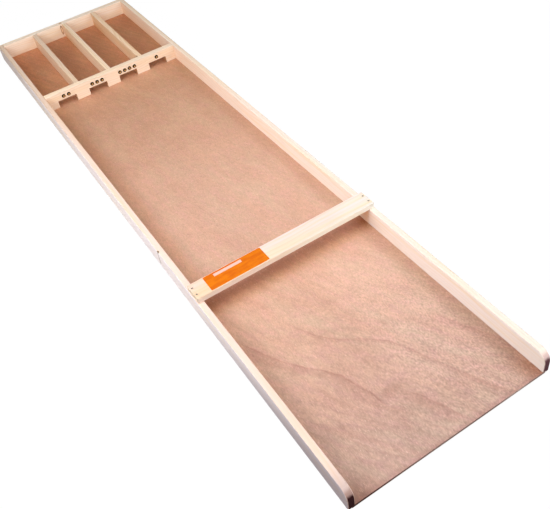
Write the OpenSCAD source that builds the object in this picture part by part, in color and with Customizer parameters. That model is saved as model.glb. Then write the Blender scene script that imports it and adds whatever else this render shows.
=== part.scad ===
// Dutch shuffleboard for the table: a long, shallow tray of pine laths on a plywood sheet.
// Pucks slide from the open front end, under the crossbar, through the gates of the gate beam
// and into the compartments behind it. Domed nails over the gates show what each one scores.
// X runs across the board, Y from the player's end to the back, Z up.
// The origin lies on the underside, under the middle of the board.

/* [Board] */
// Length from the front ends of the rails to the back face
board_l = 1190; // [1000:5:1500]
// Width over both side rails
board_w = 280; // [256:1:400]

/* [Side rails] */
// Height of a rail, from the underside of the board to its top
rail_h = 32; // [28:1:50]
// Thickness of a rail
rail_t = 9; // [7:0.5:16]
// Radius of the rounded top corner at the front end
rail_nose_r = 15; // [4:0.5:20]
// Radius of the bottom corner at the front end
rail_toe_r = 2; // [0.5:0.5:4]
// Width of the small flat that breaks each long top edge of a rail
rail_arris = 0.8; // [0.2:0.1:2]

/* [Floor sheet] */
// Thickness of the plywood sheet
floor_t = 4; // [3:0.5:6]
// How far the rebate for the sheet reaches into each rail
rebate_w = 4.5; // [3:0.25:6]
// Gap between the edge of the sheet and the wall of the rebate
rebate_clearance = 0.2; // [0.1:0.05:0.5]

/* [Back wall] */
// Thickness of the back wall
back_wall_t = 12; // [8:0.5:20]

/* [Gate beam] */
// Thickness of the gate beam
beam_t = 12; // [9:0.5:20]
// Width of each gate
gate_w = 36; // [24:0.5:42]
// Height of each gate above the floor sheet
gate_h = 13; // [9:0.5:15]
// Width of the beam's leg against each rail
end_leg_w = 20; // [18:0.5:28]

/* [Compartments] */
// Clear length from the gate beam to the back wall
compartment_l = 243; // [150:1:320]
// Thickness of a divider
divider_t = 9; // [6:0.5:14]
// How far each outer divider stands outside the middle of the leg in front of it
divider_shift = 3; // [0:0.5:5]

/* [Crossbar] */
// Distance from the front end of the board to the front edge of the crossbar
crossbar_y = 313; // [150:1:450]
// Width of the crossbar along the board
crossbar_w = 29; // [20:0.5:45]
// Thickness of the crossbar
crossbar_t = 9; // [6:0.5:14]
// How far each end of the crossbar stops short of the rail's outer face
crossbar_inset = 1; // [0:0.5:2]
// Distance between the two nails at each end of the crossbar
crossbar_nail_pitch = 13; // [8:0.5:14]

/* [Sticker] */
// Length of the plain sticker along the crossbar
sticker_l = 87; // [40:1:110]
// Distance from the crossbar's left end to the sticker
sticker_x = 22; // [15:1:60]
// Bare strip of the crossbar in front of the sticker and behind it
sticker_margin = 1; // [0.5:0.5:5]
// Thickness of the sticker
sticker_t = 0.2; // [0.1:0.05:0.5]

/* [Score nails] */
// Diameter of the domed head
score_head_d = 7; // [4:0.5:9]
// Height of the domed head
score_head_h = 2; // [1:0.1:3]
// Distance between neighbouring nails over one gate
score_pitch = 10; // [9.5:0.25:12]
// Height of the row of nails above the top of the gates
score_rise = 6.5; // [5:0.25:9]
// Diameter of the shank
score_shank_d = 1.4; // [1:0.1:2]
// Length of the shank below the head
score_shank_l = 9; // [5:0.5:11]

/* [Nails] */
// Length of a nail in the frame, head and point included
nail_l = 25; // [18:0.5:28]
// Diameter of a nail's shank
nail_d = 1.4; // [1:0.1:2]
// Diameter of a nail's flat head
nail_head_d = 2.8; // [2.2:0.1:4]
// Thickness of a nail's flat head
nail_head_h = 0.8; // [0.5:0.1:1.2]
// How far from the top edge, and from the floor sheet, the nails of a frame joint sit
nail_edge = 7; // [5:0.5:9]

/* [Floor brads] */
// Length of a brad in the floor sheet, head and point included
brad_l = 14; // [10:0.5:15]
// Diameter of a brad's shank
brad_d = 1.2; // [0.8:0.1:1.6]
// Diameter of a brad's flat head
brad_head_d = 2.4; // [1.8:0.1:3.2]
// Thickness of a brad's flat head
brad_head_h = 0.5; // [0.3:0.1:0.9]
// Number of brads in each rail along the playing lane
lane_brads = 7; // [3:1:12]
// Number of brads in each rail beside the compartments
compartment_brads = 2; // [2:1:5]
// Distance from a cross piece to the nearest brad along a rail or a divider
brad_margin = 35; // [20:1:60]

/* [Nail fit] */
// Gap around a shank or a head in its bore
bore_clearance = 0.05; // [0.02:0.01:0.15]
// How far the top of a flat head lies below the face of the wood
head_sink = 0.2; // [0.1:0.05:0.4]
// Room in a blind bore past the point of its nail
point_room = 0.5; // [0.2:0.1:1]

/* [Hidden] */
$fn = 48;

// How far a cutting shape runs past the face that it cuts
over = 1;
left = -1;
right = 1;

// Across the board
inner_w = board_w - 2 * rail_t;
rail_mid_x = (inner_w + rail_t) / 2;
middle_leg_w = (inner_w - 2 * end_leg_w - 4 * gate_w) / 3;
gate_pitch = gate_w + middle_leg_w;
divider_pitch = gate_pitch + divider_shift;
rebate_brad_x = (inner_w + rebate_w) / 2;

// Along the board
front_y = -board_l / 2;
back_y = board_l / 2;
wall_y = back_y - back_wall_t;
beam_back_y = wall_y - compartment_l;
beam_y = beam_back_y - beam_t;
beam_mid_y = beam_y + beam_t / 2;
wall_mid_y = wall_y + back_wall_t / 2;
crossbar_front_y = front_y + crossbar_y;
crossbar_mid_y = crossbar_front_y + crossbar_w / 2;

// Upwards
frame_h = rail_h - floor_t;
gate_top_z = floor_t + gate_h;
crossbar_top_z = rail_h + crossbar_t;
low_nail_z = floor_t + nail_edge;
high_nail_z = rail_h - nail_edge;

// Gates are numbered 0 to 3 from left to right, and dividers 0 to 2
function gate_x(i) = (i - 1.5) * gate_pitch;
function divider_x(i) = (i - 1) * divider_pitch;
function evenly(first, last, count) = [for (i = [0 : count - 1]) first + (last - first) * i / (count - 1)];

// Wood and metal colours
module pine() { color([0.94, 0.84, 0.70]) children(); }
module plywood() { color([0.78, 0.57, 0.43]) children(); }
module brass() { color([0.80, 0.62, 0.28]) children(); }
module steel() { color([0.55, 0.56, 0.58]) children(); }

// A round nail with a flat head: the head's top lies at the origin and the point is down -Z
module flat_nail(length, shank_d, head_d, head_h) {
    point_l = shank_d;
    translate([0, 0, -head_h]) cylinder(d = head_d, h = head_h);
    translate([0, 0, point_l - length]) cylinder(d = shank_d, h = length - point_l);
    translate([0, 0, -length]) cylinder(d1 = shank_d / 5, d2 = shank_d, h = point_l);
}

// The room that a flat nail takes in the wood, open above its sunk head
module flat_nail_bore(length, shank_d, head_d, head_h) {
    translate([0, 0, -length - point_room])
        cylinder(d = shank_d + 2 * bore_clearance, h = length + point_room);
    translate([0, 0, -head_h]) cylinder(d = head_d + 2 * bore_clearance, h = head_h + head_sink + over);
}

module nail() { flat_nail(nail_l, nail_d, nail_head_d, nail_head_h); }
module nail_bore() { flat_nail_bore(nail_l, nail_d, nail_head_d, nail_head_h); }
module brad() { flat_nail(brad_l, brad_d, brad_head_d, brad_head_h); }
module brad_bore() { flat_nail_bore(brad_l, brad_d, brad_head_d, brad_head_h); }

// A nail with a domed head: the back of the head lies at the origin and the point is down -Z
module domed_nail() {
    dome_r = (pow(score_head_d / 2, 2) + pow(score_head_h, 2)) / (2 * score_head_h);
    point_l = score_shank_d;
    intersection() {
        translate([0, 0, score_head_h - dome_r]) sphere(r = dome_r);
        translate([-score_head_d, -score_head_d, 0])
            cube([2 * score_head_d, 2 * score_head_d, score_head_h + over]);
    }
    translate([0, 0, point_l - score_shank_l]) cylinder(d = score_shank_d, h = score_shank_l - point_l);
    translate([0, 0, -score_shank_l]) cylinder(d1 = score_shank_d / 5, d2 = score_shank_d, h = point_l);
}

module domed_nail_bore() {
    translate([0, 0, -score_shank_l - point_room])
        cylinder(d = score_shank_d + 2 * bore_clearance, h = score_shank_l + point_room + over);
}

// Places of the nails: each module puts its children there with +Z pointing out of the wood
module at_crossbar_nails(side) {
    for (k = [-0.5, 0.5])
        translate([side * rail_mid_x, crossbar_mid_y + k * crossbar_nail_pitch, crossbar_top_z - head_sink])
            children();
}

module at_rail_nails(side, y) {
    for (z = [low_nail_z, high_nail_z])
        translate([side * (board_w / 2 - head_sink), y, z]) rotate([0, side * 90, 0]) children();
}

module at_divider_nails() {
    for (i = [0 : 2], z = [low_nail_z, high_nail_z])
        translate([divider_x(i), back_y - head_sink, z]) rotate([-90, 0, 0]) children();
}

module at_floor_brad(x, y) {
    translate([x, y, head_sink]) rotate([180, 0, 0]) children();
}

module at_rail_brads(side) {
    for (y = evenly(front_y + brad_margin, beam_y - brad_margin, lane_brads))
        at_floor_brad(side * rebate_brad_x, y) children();
    for (y = evenly(beam_back_y + brad_margin, wall_y - brad_margin, compartment_brads))
        at_floor_brad(side * rebate_brad_x, y) children();
}

module at_beam_brads() {
    for (i = [-1 : 1]) at_floor_brad(i * gate_pitch, beam_mid_y) children();
}

module at_divider_brads() {
    for (i = [0 : 2], y = [beam_back_y + brad_margin, wall_y - brad_margin])
        at_floor_brad(divider_x(i), y) children();
}

module at_back_brads() {
    for (x = [-1.5, -0.5, 0.5, 1.5]) at_floor_brad(x * divider_pitch, wall_mid_y) children();
}

module at_score_nails(gate, count) {
    for (k = [0 : count - 1])
        translate([gate_x(gate) + (k - (count - 1) / 2) * score_pitch, beam_y, gate_top_z + score_rise])
            rotate([90, 0, 0]) children();
}

// Floor: one sheet, let into a rebate along each rail and flush with the rails underneath
module floor_sheet() {
    sheet_w = inner_w + 2 * (rebate_w - rebate_clearance);
    plywood() difference() {
        translate([-sheet_w / 2, front_y, 0]) cube([sheet_w, board_l, floor_t]);
        at_rail_brads(left) brad_bore();
        at_rail_brads(right) brad_bore();
        at_beam_brads() brad_bore();
        at_divider_brads() brad_bore();
        at_back_brads() brad_bore();
    }
}

// The right rail's section, with the rebate at the bottom and both top edges broken
module rail_section() {
    inner = inner_w / 2;
    outer = board_w / 2;
    polygon([
        [inner + rebate_w, 0], [outer, 0], [outer, rail_h - rail_arris], [outer - rail_arris, rail_h],
        [inner + rail_arris, rail_h], [inner, rail_h - rail_arris], [inner, floor_t],
        [inner + rebate_w, floor_t]
    ]);
}

// What a corner of radius r loses: its centre lies at y = r, z = 0 and it opens towards -Y and +Z
module corner_waste(r) {
    translate([inner_w / 2 - over, 0, 0]) difference() {
        translate([0, -over, 0]) cube([rail_t + 2 * over, r + over, r + over]);
        translate([-over, r, 0]) rotate([0, 90, 0]) cylinder(r = r, h = rail_t + 4 * over);
    }
}

module rail_blank() {
    difference() {
        translate([0, back_y, 0]) rotate([90, 0, 0]) linear_extrude(height = board_l) rail_section();
        translate([0, front_y, rail_h - rail_nose_r]) corner_waste(rail_nose_r);
        translate([0, front_y, rail_toe_r]) mirror([0, 0, 1]) corner_waste(rail_toe_r);
    }
}

module rail(side) {
    pine() difference() {
        mirror([side == left ? 1 : 0, 0, 0]) rail_blank();
        at_crossbar_nails(side) nail_bore();
        at_rail_nails(side, beam_mid_y) nail_bore();
        at_rail_nails(side, wall_mid_y) nail_bore();
        at_rail_brads(side) brad_bore();
    }
}

module left_rail() { rail(left); }
module right_rail() { rail(right); }

// Back wall: stands on the sheet between the rails
module back_wall() {
    pine() difference() {
        translate([-inner_w / 2, wall_y, floor_t]) cube([inner_w, back_wall_t, frame_h]);
        at_rail_nails(left, wall_mid_y) nail_bore();
        at_rail_nails(right, wall_mid_y) nail_bore();
        at_divider_nails() nail_bore();
        at_back_brads() brad_bore();
    }
}

// Gate beam: a thick lath on edge with the gates sawn out of its lower half
module gate_beam() {
    pine() difference() {
        translate([-inner_w / 2, beam_y, floor_t]) cube([inner_w, beam_t, frame_h]);
        for (i = [0 : 3])
            translate([gate_x(i) - gate_w / 2, beam_y - over, floor_t - over])
                cube([gate_w, beam_t + 2 * over, gate_h + over]);
        at_score_nails(0, 2) domed_nail_bore();
        at_score_nails(1, 3) domed_nail_bore();
        at_score_nails(2, 4) domed_nail_bore();
        at_score_nails(3, 1) domed_nail_bore();
        at_rail_nails(left, beam_mid_y) nail_bore();
        at_rail_nails(right, beam_mid_y) nail_bore();
        at_beam_brads() brad_bore();
    }
}

// Dividers: laths on edge from the gate beam to the back wall
module divider(i) {
    pine() difference() {
        translate([divider_x(i) - divider_t / 2, beam_back_y, floor_t])
            cube([divider_t, compartment_l, frame_h]);
        at_divider_nails() nail_bore();
        at_divider_brads() brad_bore();
    }
}

module left_divider() { divider(0); }
module middle_divider() { divider(1); }
module right_divider() { divider(2); }

// Crossbar: a flat lath on top of both rails
module crossbar() {
    bar_l = board_w - 2 * crossbar_inset;
    pine() difference() {
        translate([-bar_l / 2, crossbar_front_y, rail_h]) cube([bar_l, crossbar_w, crossbar_t]);
        at_crossbar_nails(left) nail_bore();
        at_crossbar_nails(right) nail_bore();
    }
}

// Sticker: a plain orange strip on the left part of the crossbar
module sticker() {
    sticker_w = crossbar_w - 2 * sticker_margin;
    color([0.96, 0.52, 0.08])
        translate([crossbar_inset + sticker_x - board_w / 2, crossbar_front_y + sticker_margin, crossbar_top_z])
            cube([sticker_l, sticker_w, sticker_t]);
}

module score_nails_two() { brass() at_score_nails(0, 2) domed_nail(); }
module score_nails_three() { brass() at_score_nails(1, 3) domed_nail(); }
module score_nails_four() { brass() at_score_nails(2, 4) domed_nail(); }
module score_nail_one() { brass() at_score_nails(3, 1) domed_nail(); }

module crossbar_nails_left() { steel() at_crossbar_nails(left) nail(); }
module crossbar_nails_right() { steel() at_crossbar_nails(right) nail(); }
module beam_nails_left() { steel() at_rail_nails(left, beam_mid_y) nail(); }
module beam_nails_right() { steel() at_rail_nails(right, beam_mid_y) nail(); }
module back_wall_nails_left() { steel() at_rail_nails(left, wall_mid_y) nail(); }
module back_wall_nails_right() { steel() at_rail_nails(right, wall_mid_y) nail(); }
module divider_nails() { steel() at_divider_nails() nail(); }

module floor_brads_left() { steel() at_rail_brads(left) brad(); }
module floor_brads_right() { steel() at_rail_brads(right) brad(); }
module floor_brads_beam() { steel() at_beam_brads() brad(); }
module floor_brads_dividers() { steel() at_divider_brads() brad(); }
module floor_brads_back() { steel() at_back_brads() brad(); }

floor_sheet();
left_rail();
right_rail();
back_wall();
gate_beam();
left_divider();
middle_divider();
right_divider();
crossbar();
sticker();
score_nails_two();
score_nails_three();
score_nails_four();
score_nail_one();
crossbar_nails_left();
crossbar_nails_right();
beam_nails_left();
beam_nails_right();
back_wall_nails_left();
back_wall_nails_right();
divider_nails();
floor_brads_left();
floor_brads_right();
floor_brads_beam();
floor_brads_dividers();
floor_brads_back();
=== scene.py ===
"""Looks of the table shuffleboard: a pale pine frame on a reddish plywood sheet.

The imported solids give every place. Each board is built again here with eased edges and sunk
nail holes, each nail with a proper head, and each finish as a node recipe on the board's own
coordinates. Sizes in this file are millimetres, but for the studio's, which are metres. The
meshes are metres too, in the solids' frame.
"""
import logging
import math
from dataclasses import dataclass, field
from enum import Enum

import bpy
import numpy as np
from mathutils.geometry import delaunay_2d_cdt
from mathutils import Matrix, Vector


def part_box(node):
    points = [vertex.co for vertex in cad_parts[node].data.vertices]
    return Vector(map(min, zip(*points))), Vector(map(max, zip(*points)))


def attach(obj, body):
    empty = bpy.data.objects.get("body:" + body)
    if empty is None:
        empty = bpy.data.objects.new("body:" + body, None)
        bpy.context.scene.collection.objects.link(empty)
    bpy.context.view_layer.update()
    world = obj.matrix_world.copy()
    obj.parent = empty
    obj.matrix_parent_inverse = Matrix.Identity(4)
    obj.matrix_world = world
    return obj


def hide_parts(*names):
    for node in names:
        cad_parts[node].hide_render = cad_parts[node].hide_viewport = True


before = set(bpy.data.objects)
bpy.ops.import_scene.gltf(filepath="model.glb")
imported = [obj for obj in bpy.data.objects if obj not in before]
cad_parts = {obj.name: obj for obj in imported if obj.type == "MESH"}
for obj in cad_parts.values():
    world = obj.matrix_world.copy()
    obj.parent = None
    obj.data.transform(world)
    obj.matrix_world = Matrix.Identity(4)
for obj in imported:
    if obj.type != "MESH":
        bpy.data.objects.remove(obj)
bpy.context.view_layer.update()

LOG = logging.getLogger("shuffleboard")

# A millimetre in metres, and the distance in metres within which points become one.
MM = 0.001
WELD = 1e-6

# Faces that turn by less than this share a normal, and an arc at a corner has so many chords.
SMOOTH_TURN = math.cos(math.radians(32))
CORNER_CHORDS = 4

# The body that every piece rides on.
BODY = "root"

# A tone that changes nothing, the middle of the coordinates, and the ways that faces look.
PLAIN = (1.0, 1.0, 1.0)
ORIGIN = (0.0, 0.0, 0.0)
UPWARD = (0.0, 0.0, 1.0)
FRONTWARD = (0.0, -1.0, 0.0)
SIDEWARD = (1.0, 0.0, 0.0)

# How squarely a face looks a way when a tone for that way starts to count, and counts fully.
SQUARELY = (0.4, 0.9)

# How far a seed of 1 moves a noise along each axis.
SEED_SHIFT = (1.0, 1.7, 2.3)

# Two numbers, such as the start and the end of a step, and three, such as a place.
Span = tuple[float, float]
Triple = tuple[float, float, float]
Colour = tuple[float, float, float]
Socket = bpy.types.NodeSocket
Value = Socket | float | Triple


class Axis(Enum):
    """A direction of the board: X across it, Y from the player's end to the back, Z up."""

    X = 0
    Y = 1
    Z = 2

    def place(self, u: np.ndarray, v: np.ndarray, w: np.ndarray) -> np.ndarray:
        """Turns section coordinates into points.

        Args:
            u: First coordinate of the section: y for a run along X, otherwise x.
            v: Second coordinate of the section: y for a run along Z, otherwise z.
            w: Coordinate along the run.

        Returns:
            An array of points with x, y and z in its last place.
        """
        order = {Axis.X: (w, u, v), Axis.Y: (u, w, v), Axis.Z: (u, v, w)}[self]
        return np.stack(np.broadcast_arrays(*order), axis=-1)

    def indices(self) -> tuple[int, int, int]:
        """Where u, v and w of a run along this axis stand in a point."""
        return {Axis.X: (1, 2, 0), Axis.Y: (0, 2, 1), Axis.Z: (0, 1, 2)}[self]


class Side(Enum):
    """The left or the right of the board, as the player sees it."""

    LEFT = -1
    RIGHT = 1


class End(Enum):
    """How one end of a prism is finished."""

    EASED = "eased"
    OPEN = "open"


# Shapes

class Skin:
    """The outer skin of one piece, gathered as triangles that carry their own normals."""

    def __init__(self) -> None:
        """Starts with no triangles."""
        self.corners: list[np.ndarray] = []
        self.normals: list[np.ndarray] = []

    def add(self, corners: np.ndarray, normals: np.ndarray) -> None:
        """Takes triangles.

        Args:
            corners: Points in millimetres, shaped (triangles, 3, 3).
            normals: The normal at each of these corners, shaped alike.
        """
        self.corners.append(corners)
        self.normals.append(normals)

    def add_quads(self, corners: np.ndarray, normals: np.ndarray) -> None:
        """Takes four-cornered faces, shaped (faces, 4, 3), and halves each one."""
        for pick in ([0, 1, 2], [0, 2, 3]):
            self.add(corners[:, pick], normals[:, pick])

    def mesh(self, name: str) -> bpy.types.Mesh:
        """Welds the triangles into one mesh that faces outwards.

        Points closer than a micrometre become one. A triangle that loses its area that way is
        left out, and one whose winding opposes its own normals is turned round.

        Args:
            name: The mesh's name.

        Returns:
            The mesh, in metres, with the gathered normals on its corners.
        """
        corners = np.concatenate(self.corners) * MM
        normals = np.concatenate(self.normals)
        keys = np.round(corners.reshape(-1, 3) / WELD).astype(np.int64)
        _, first, index = np.unique(keys, axis=0, return_index=True, return_inverse=True)
        points = corners.reshape(-1, 3)[first]
        faces = index.reshape(-1, 3)
        whole = (faces != np.roll(faces, 1, axis=1)).all(axis=1)
        faces, corners, normals = faces[whole], corners[whole], normals[whole]
        wound = np.cross(corners[:, 1] - corners[:, 0], corners[:, 2] - corners[:, 0])
        wrong = (wound * normals.sum(axis=1)).sum(axis=1) < 0
        faces[wrong] = faces[wrong][:, ::-1]
        normals[wrong] = normals[wrong][:, ::-1]
        mesh = bpy.data.meshes.new(name)
        mesh.from_pydata(points.tolist(), [], faces.tolist())
        mesh.polygons.foreach_set("use_smooth", np.ones(len(faces), dtype=bool))
        mesh.update()
        lengths = np.linalg.norm(normals, axis=2, keepdims=True)
        mesh.normals_split_custom_set((normals / lengths).reshape(-1, 3).tolist())
        self.report_seams(name, faces)
        return mesh

    @staticmethod
    def report_seams(name: str, faces: np.ndarray) -> None:
        """Warns of edges that don't lie between exactly two triangles.

        Args:
            name: The piece's name.
            faces: Three indices per triangle.
        """
        edges = np.sort(np.stack([faces, np.roll(faces, -1, axis=1)], axis=2).reshape(-1, 2), axis=1)
        _, uses = np.unique(edges, axis=0, return_counts=True)
        if (uses != 2).any():
            LOG.warning("%s has %d edges that aren't closed", name, int((uses != 2).sum()))


def segment_normals(points: np.ndarray, closed: bool) -> tuple[np.ndarray, np.ndarray, np.ndarray]:
    """Normals of a line of segments, to the right of their direction.

    A segment's normal is its direction turned a quarter to the right. Where two neighbours
    turn by less than the smooth limit, both take the mean of their normals at the joint.

    Args:
        points: The line's points, shaped (count, 2).
        closed: Whether a last segment runs back to the first point.

    Returns:
        The plain normals, those at each segment's start, and those at its end.
    """
    ahead = np.roll(points, -1, axis=0) - points
    if not closed:
        ahead = ahead[:-1]
    flat = np.stack([ahead[:, 1], -ahead[:, 0]], axis=1)
    flat /= np.linalg.norm(flat, axis=1, keepdims=True)
    before = np.roll(flat, 1, axis=0)
    smooth = (before * flat).sum(axis=1) > SMOOTH_TURN
    if not closed:
        smooth[0] = False
    mean = before + flat
    mean /= np.maximum(np.linalg.norm(mean, axis=1, keepdims=True), 1e-9)
    start = np.where(smooth[:, None], mean, flat)
    end = np.where(np.roll(smooth, -1)[:, None], np.roll(mean, -1, axis=0), flat)
    return flat, start, end


def rounded(corners: list[tuple[float, float, float]], steps: int) -> np.ndarray:
    """Rounds the corners of a polygon.

    Each corner is replaced by points on the arc that touches both of its sides: the tangent
    length is the radius times the tangent of half the turn.

    Args:
        corners: The first and second coordinate and the radius of each corner.
        steps: Number of chords in each arc.

    Returns:
        The points of the closed outline, without repeats.
    """
    rows = np.array(corners, dtype=float)
    at, radius = rows[:, :2], rows[:, 2]
    came = at - np.roll(at, 1, axis=0)
    came /= np.linalg.norm(came, axis=1, keepdims=True)
    goes = np.roll(came, -1, axis=0)
    turn = np.arctan2(came[:, 0] * goes[:, 1] - came[:, 1] * goes[:, 0], (came * goes).sum(axis=1))
    reach = radius * np.tan(np.abs(turn) / 2)
    across = np.stack([-came[:, 1], came[:, 0]], axis=1) * np.sign(turn)[:, None]
    centre = at - came * reach[:, None] + across * radius[:, None]
    share = np.linspace(0, 1, steps + 1)
    angle = np.arctan2(-across[:, 1], -across[:, 0])[:, None] + turn[:, None] * share
    arcs = centre[:, None] + radius[:, None, None] * np.stack([np.cos(angle), np.sin(angle)], axis=2)
    points = arcs.reshape(-1, 2)
    step = np.linalg.norm(points - np.roll(points, 1, axis=0), axis=1)
    return points[step > 1e-6]


def rectangle(low: np.ndarray, high: np.ndarray, radius: float, steps: int = CORNER_CHORDS) -> np.ndarray:
    """A rectangle with rounded corners.

    Args:
        low: Its lowest first and second coordinate.
        high: Its highest ones.
        radius: The radius of its corners.
        steps: Number of chords in each arc.

    Returns:
        The points of its outline.
    """
    return rounded([(low[0], low[1], radius), (high[0], low[1], radius),
                    (high[0], high[1], radius), (low[0], high[1], radius)], steps)


def with_level(outline: np.ndarray, level: float) -> np.ndarray:
    """Adds the points where a closed outline crosses a level of its second coordinate.

    A crossing lies at the share of the segment that its start's height over the level is of
    the segment's fall.

    Args:
        outline: The points of the outline, shaped (count, 2).
        level: The level.

    Returns:
        The outline with the crossings in their places.
    """
    after = np.roll(outline, -1, axis=0)
    below, above = outline[:, 1] - level, after[:, 1] - level
    cut = below * above < -1e-9
    share = np.where(cut, below / np.where(cut, below - above, 1), 0)[:, None]
    both = np.stack([outline, outline + (after - outline) * share], axis=1)
    keep = np.stack([np.ones_like(cut), cut], axis=1)
    return both[keep]


def filled(loops: list[np.ndarray]) -> np.ndarray:
    """Fills a flat outline, leaving its holes open, with triangles.

    Args:
        loops: The outline first, then one loop of points for each hole.

    Returns:
        Three indices per triangle into the loops' points, in the order given.
    """
    points = np.concatenate(loops)
    starts = np.cumsum([0] + [len(loop) for loop in loops[:-1]])
    edges = np.concatenate([
        np.stack([start + np.arange(len(loop)), start + np.roll(np.arange(len(loop)), -1)], axis=1)
        for start, loop in zip(starts, loops)
    ])
    found = delaunay_2d_cdt(points.tolist(), edges.tolist(), [], 2, 1e-6)
    origin = np.array([sources[0] for sources in found[3]])
    faces = origin[np.array(found[2])]
    loop_of = np.repeat(np.arange(len(loops)), [len(loop) for loop in loops])[faces]
    in_hole = (loop_of[:, 0] > 0) & (loop_of == loop_of[:, :1]).all(axis=1)
    return faces[~in_hole]


@dataclass(frozen=True)
class Recess:
    """A round hole for a sunk nail head, in an end of a prism."""

    u: float
    v: float
    radius: float
    depth: float
    lip: float = 0.12
    sides: int = 20


@dataclass
class Prism:
    """A board: an outline carried along one axis, with a rounding round each end.

    With the angle going from 0 at the side to a quarter turn at the end, the outline moves in
    by the easing times one minus the angle's cosine, and along by the easing times its sine.
    """

    outline: np.ndarray
    low: float
    high: float
    run: Axis
    ease: float
    bare_level: float | None = None
    low_end: End = End.EASED
    high_end: End = End.EASED
    low_recesses: list[Recess] = field(default_factory=list)
    high_recesses: list[Recess] = field(default_factory=list)
    steps: int = 4

    def inward(self) -> np.ndarray:
        """How each outline point moves when both of its segments move in by the easing.

        Returns:
            The solution of two equations per point: its move along each segment's normal is
            minus that segment's easing. A segment on the bare level has no easing.
        """
        flat, _, _ = segment_normals(self.outline, True)
        ease = np.full(len(flat), self.ease)
        if self.bare_level is not None:
            after = np.roll(self.outline, -1, axis=0)
            ease[(np.abs(self.outline[:, 1] - self.bare_level) < 1e-6)
                 & (np.abs(after[:, 1] - self.bare_level) < 1e-6)] = 0
        before, ease_before = np.roll(flat, 1, axis=0), np.roll(ease, 1)
        cross = before[:, 0] * flat[:, 1] - before[:, 1] * flat[:, 0]
        straight = np.abs(cross) < 1e-6
        cross = np.where(straight, 1, cross)
        move = np.stack([
            (ease * before[:, 1] - ease_before * flat[:, 1]) / cross,
            (ease_before * flat[:, 0] - ease * before[:, 0]) / cross,
        ], axis=1)
        return np.where(straight[:, None], -flat * ease[:, None], move)

    def levels(self) -> tuple[np.ndarray, np.ndarray, np.ndarray]:
        """Rings of the skin, from the low end to the high one.

        Returns:
            Each ring's place along the run, its share of the inward move, and its tilt: the
            sine of the angle, negative towards the low end.
        """
        quarter = np.linspace(math.pi / 2, 0, self.steps + 1)
        rise, share = self.ease * (1 - np.sin(quarter)), 1 - np.cos(quarter)
        low = (self.low + rise, share, -np.sin(quarter))
        high = (self.high - rise[::-1], share[::-1], np.sin(quarter)[::-1])
        if self.low_end is End.OPEN:
            low = (np.array([self.low]), np.zeros(1), np.zeros(1))
        if self.high_end is End.OPEN:
            high = (np.array([self.high]), np.zeros(1), np.zeros(1))
        place, inset, tilt = (np.concatenate(pair) for pair in zip(low, high))
        return place, inset, tilt

    def cover(self, skin: Skin) -> None:
        """Adds the sides, the roundings and the closed ends to a skin.

        A ring is the outline plus its share of the inward move. Its normals are those of the
        outline's segments, leaned towards the end by the ring's tilt.

        Args:
            skin: The skin that takes the faces.
        """
        place, inset, tilt = self.levels()
        ring = self.outline[None] + inset[:, None, None] * self.inward()[None]
        points = self.run.place(ring[..., 0], ring[..., 1], place[:, None])
        _, start, end = segment_normals(self.outline, True)
        lean = np.sqrt(1 - tilt ** 2)[:, None]
        first = self.run.place(lean * start[:, 0], lean * start[:, 1], tilt[:, None])
        second = self.run.place(lean * end[:, 0], lean * end[:, 1], tilt[:, None])
        after = np.roll(points, -1, axis=1)
        quads = np.stack([points[:-1], after[:-1], after[1:], points[1:]], axis=2)
        turned = np.stack([first[:-1], second[:-1], second[1:], first[1:]], axis=2)
        skin.add_quads(quads.reshape(-1, 4, 3), turned.reshape(-1, 4, 3))
        if self.low_end is End.EASED:
            self.close(skin, ring[0], self.low, -1.0, self.low_recesses)
        if self.high_end is End.EASED:
            self.close(skin, ring[-1], self.high, 1.0, self.high_recesses)

    def close(self, skin: Skin, ring: np.ndarray, at: float, way: float, recesses: list[Recess]) -> None:
        """Closes one end with a flat face and its nail holes.

        Args:
            skin: The skin that takes the faces.
            ring: The outline's last ring, shaped (count, 2).
            at: The end's place along the run.
            way: 1 for the high end and -1 for the low one.
            recesses: The nail holes in this end.
        """
        loops = [ring]
        for recess in recesses:
            angle = np.arange(recess.sides) * (2 * math.pi / recess.sides)
            circle = np.stack([np.cos(angle), np.sin(angle)], axis=1)
            centre = np.array([recess.u, recess.v])
            loops.append(centre + circle * (recess.radius + recess.lip))
            lathe = Lathe(
                radii=np.array([recess.radius + recess.lip, recess.radius + 0.3 * recess.lip,
                                recess.radius, recess.radius, 0]),
                heights=np.array([0, -0.3 * recess.lip, -recess.lip, -recess.depth, -recess.depth]),
                sides=recess.sides,
            )
            lathe.cover(skin, self.run, way, (recess.u, recess.v, at), hollow=True)
        flat = np.concatenate(loops)
        corners = self.run.place(flat[:, 0], flat[:, 1], np.full(len(flat), at))[filled(loops)]
        normal = self.run.place(np.zeros(1), np.zeros(1), np.full(1, way))[0]
        skin.add(corners, np.broadcast_to(normal, corners.shape))


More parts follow.
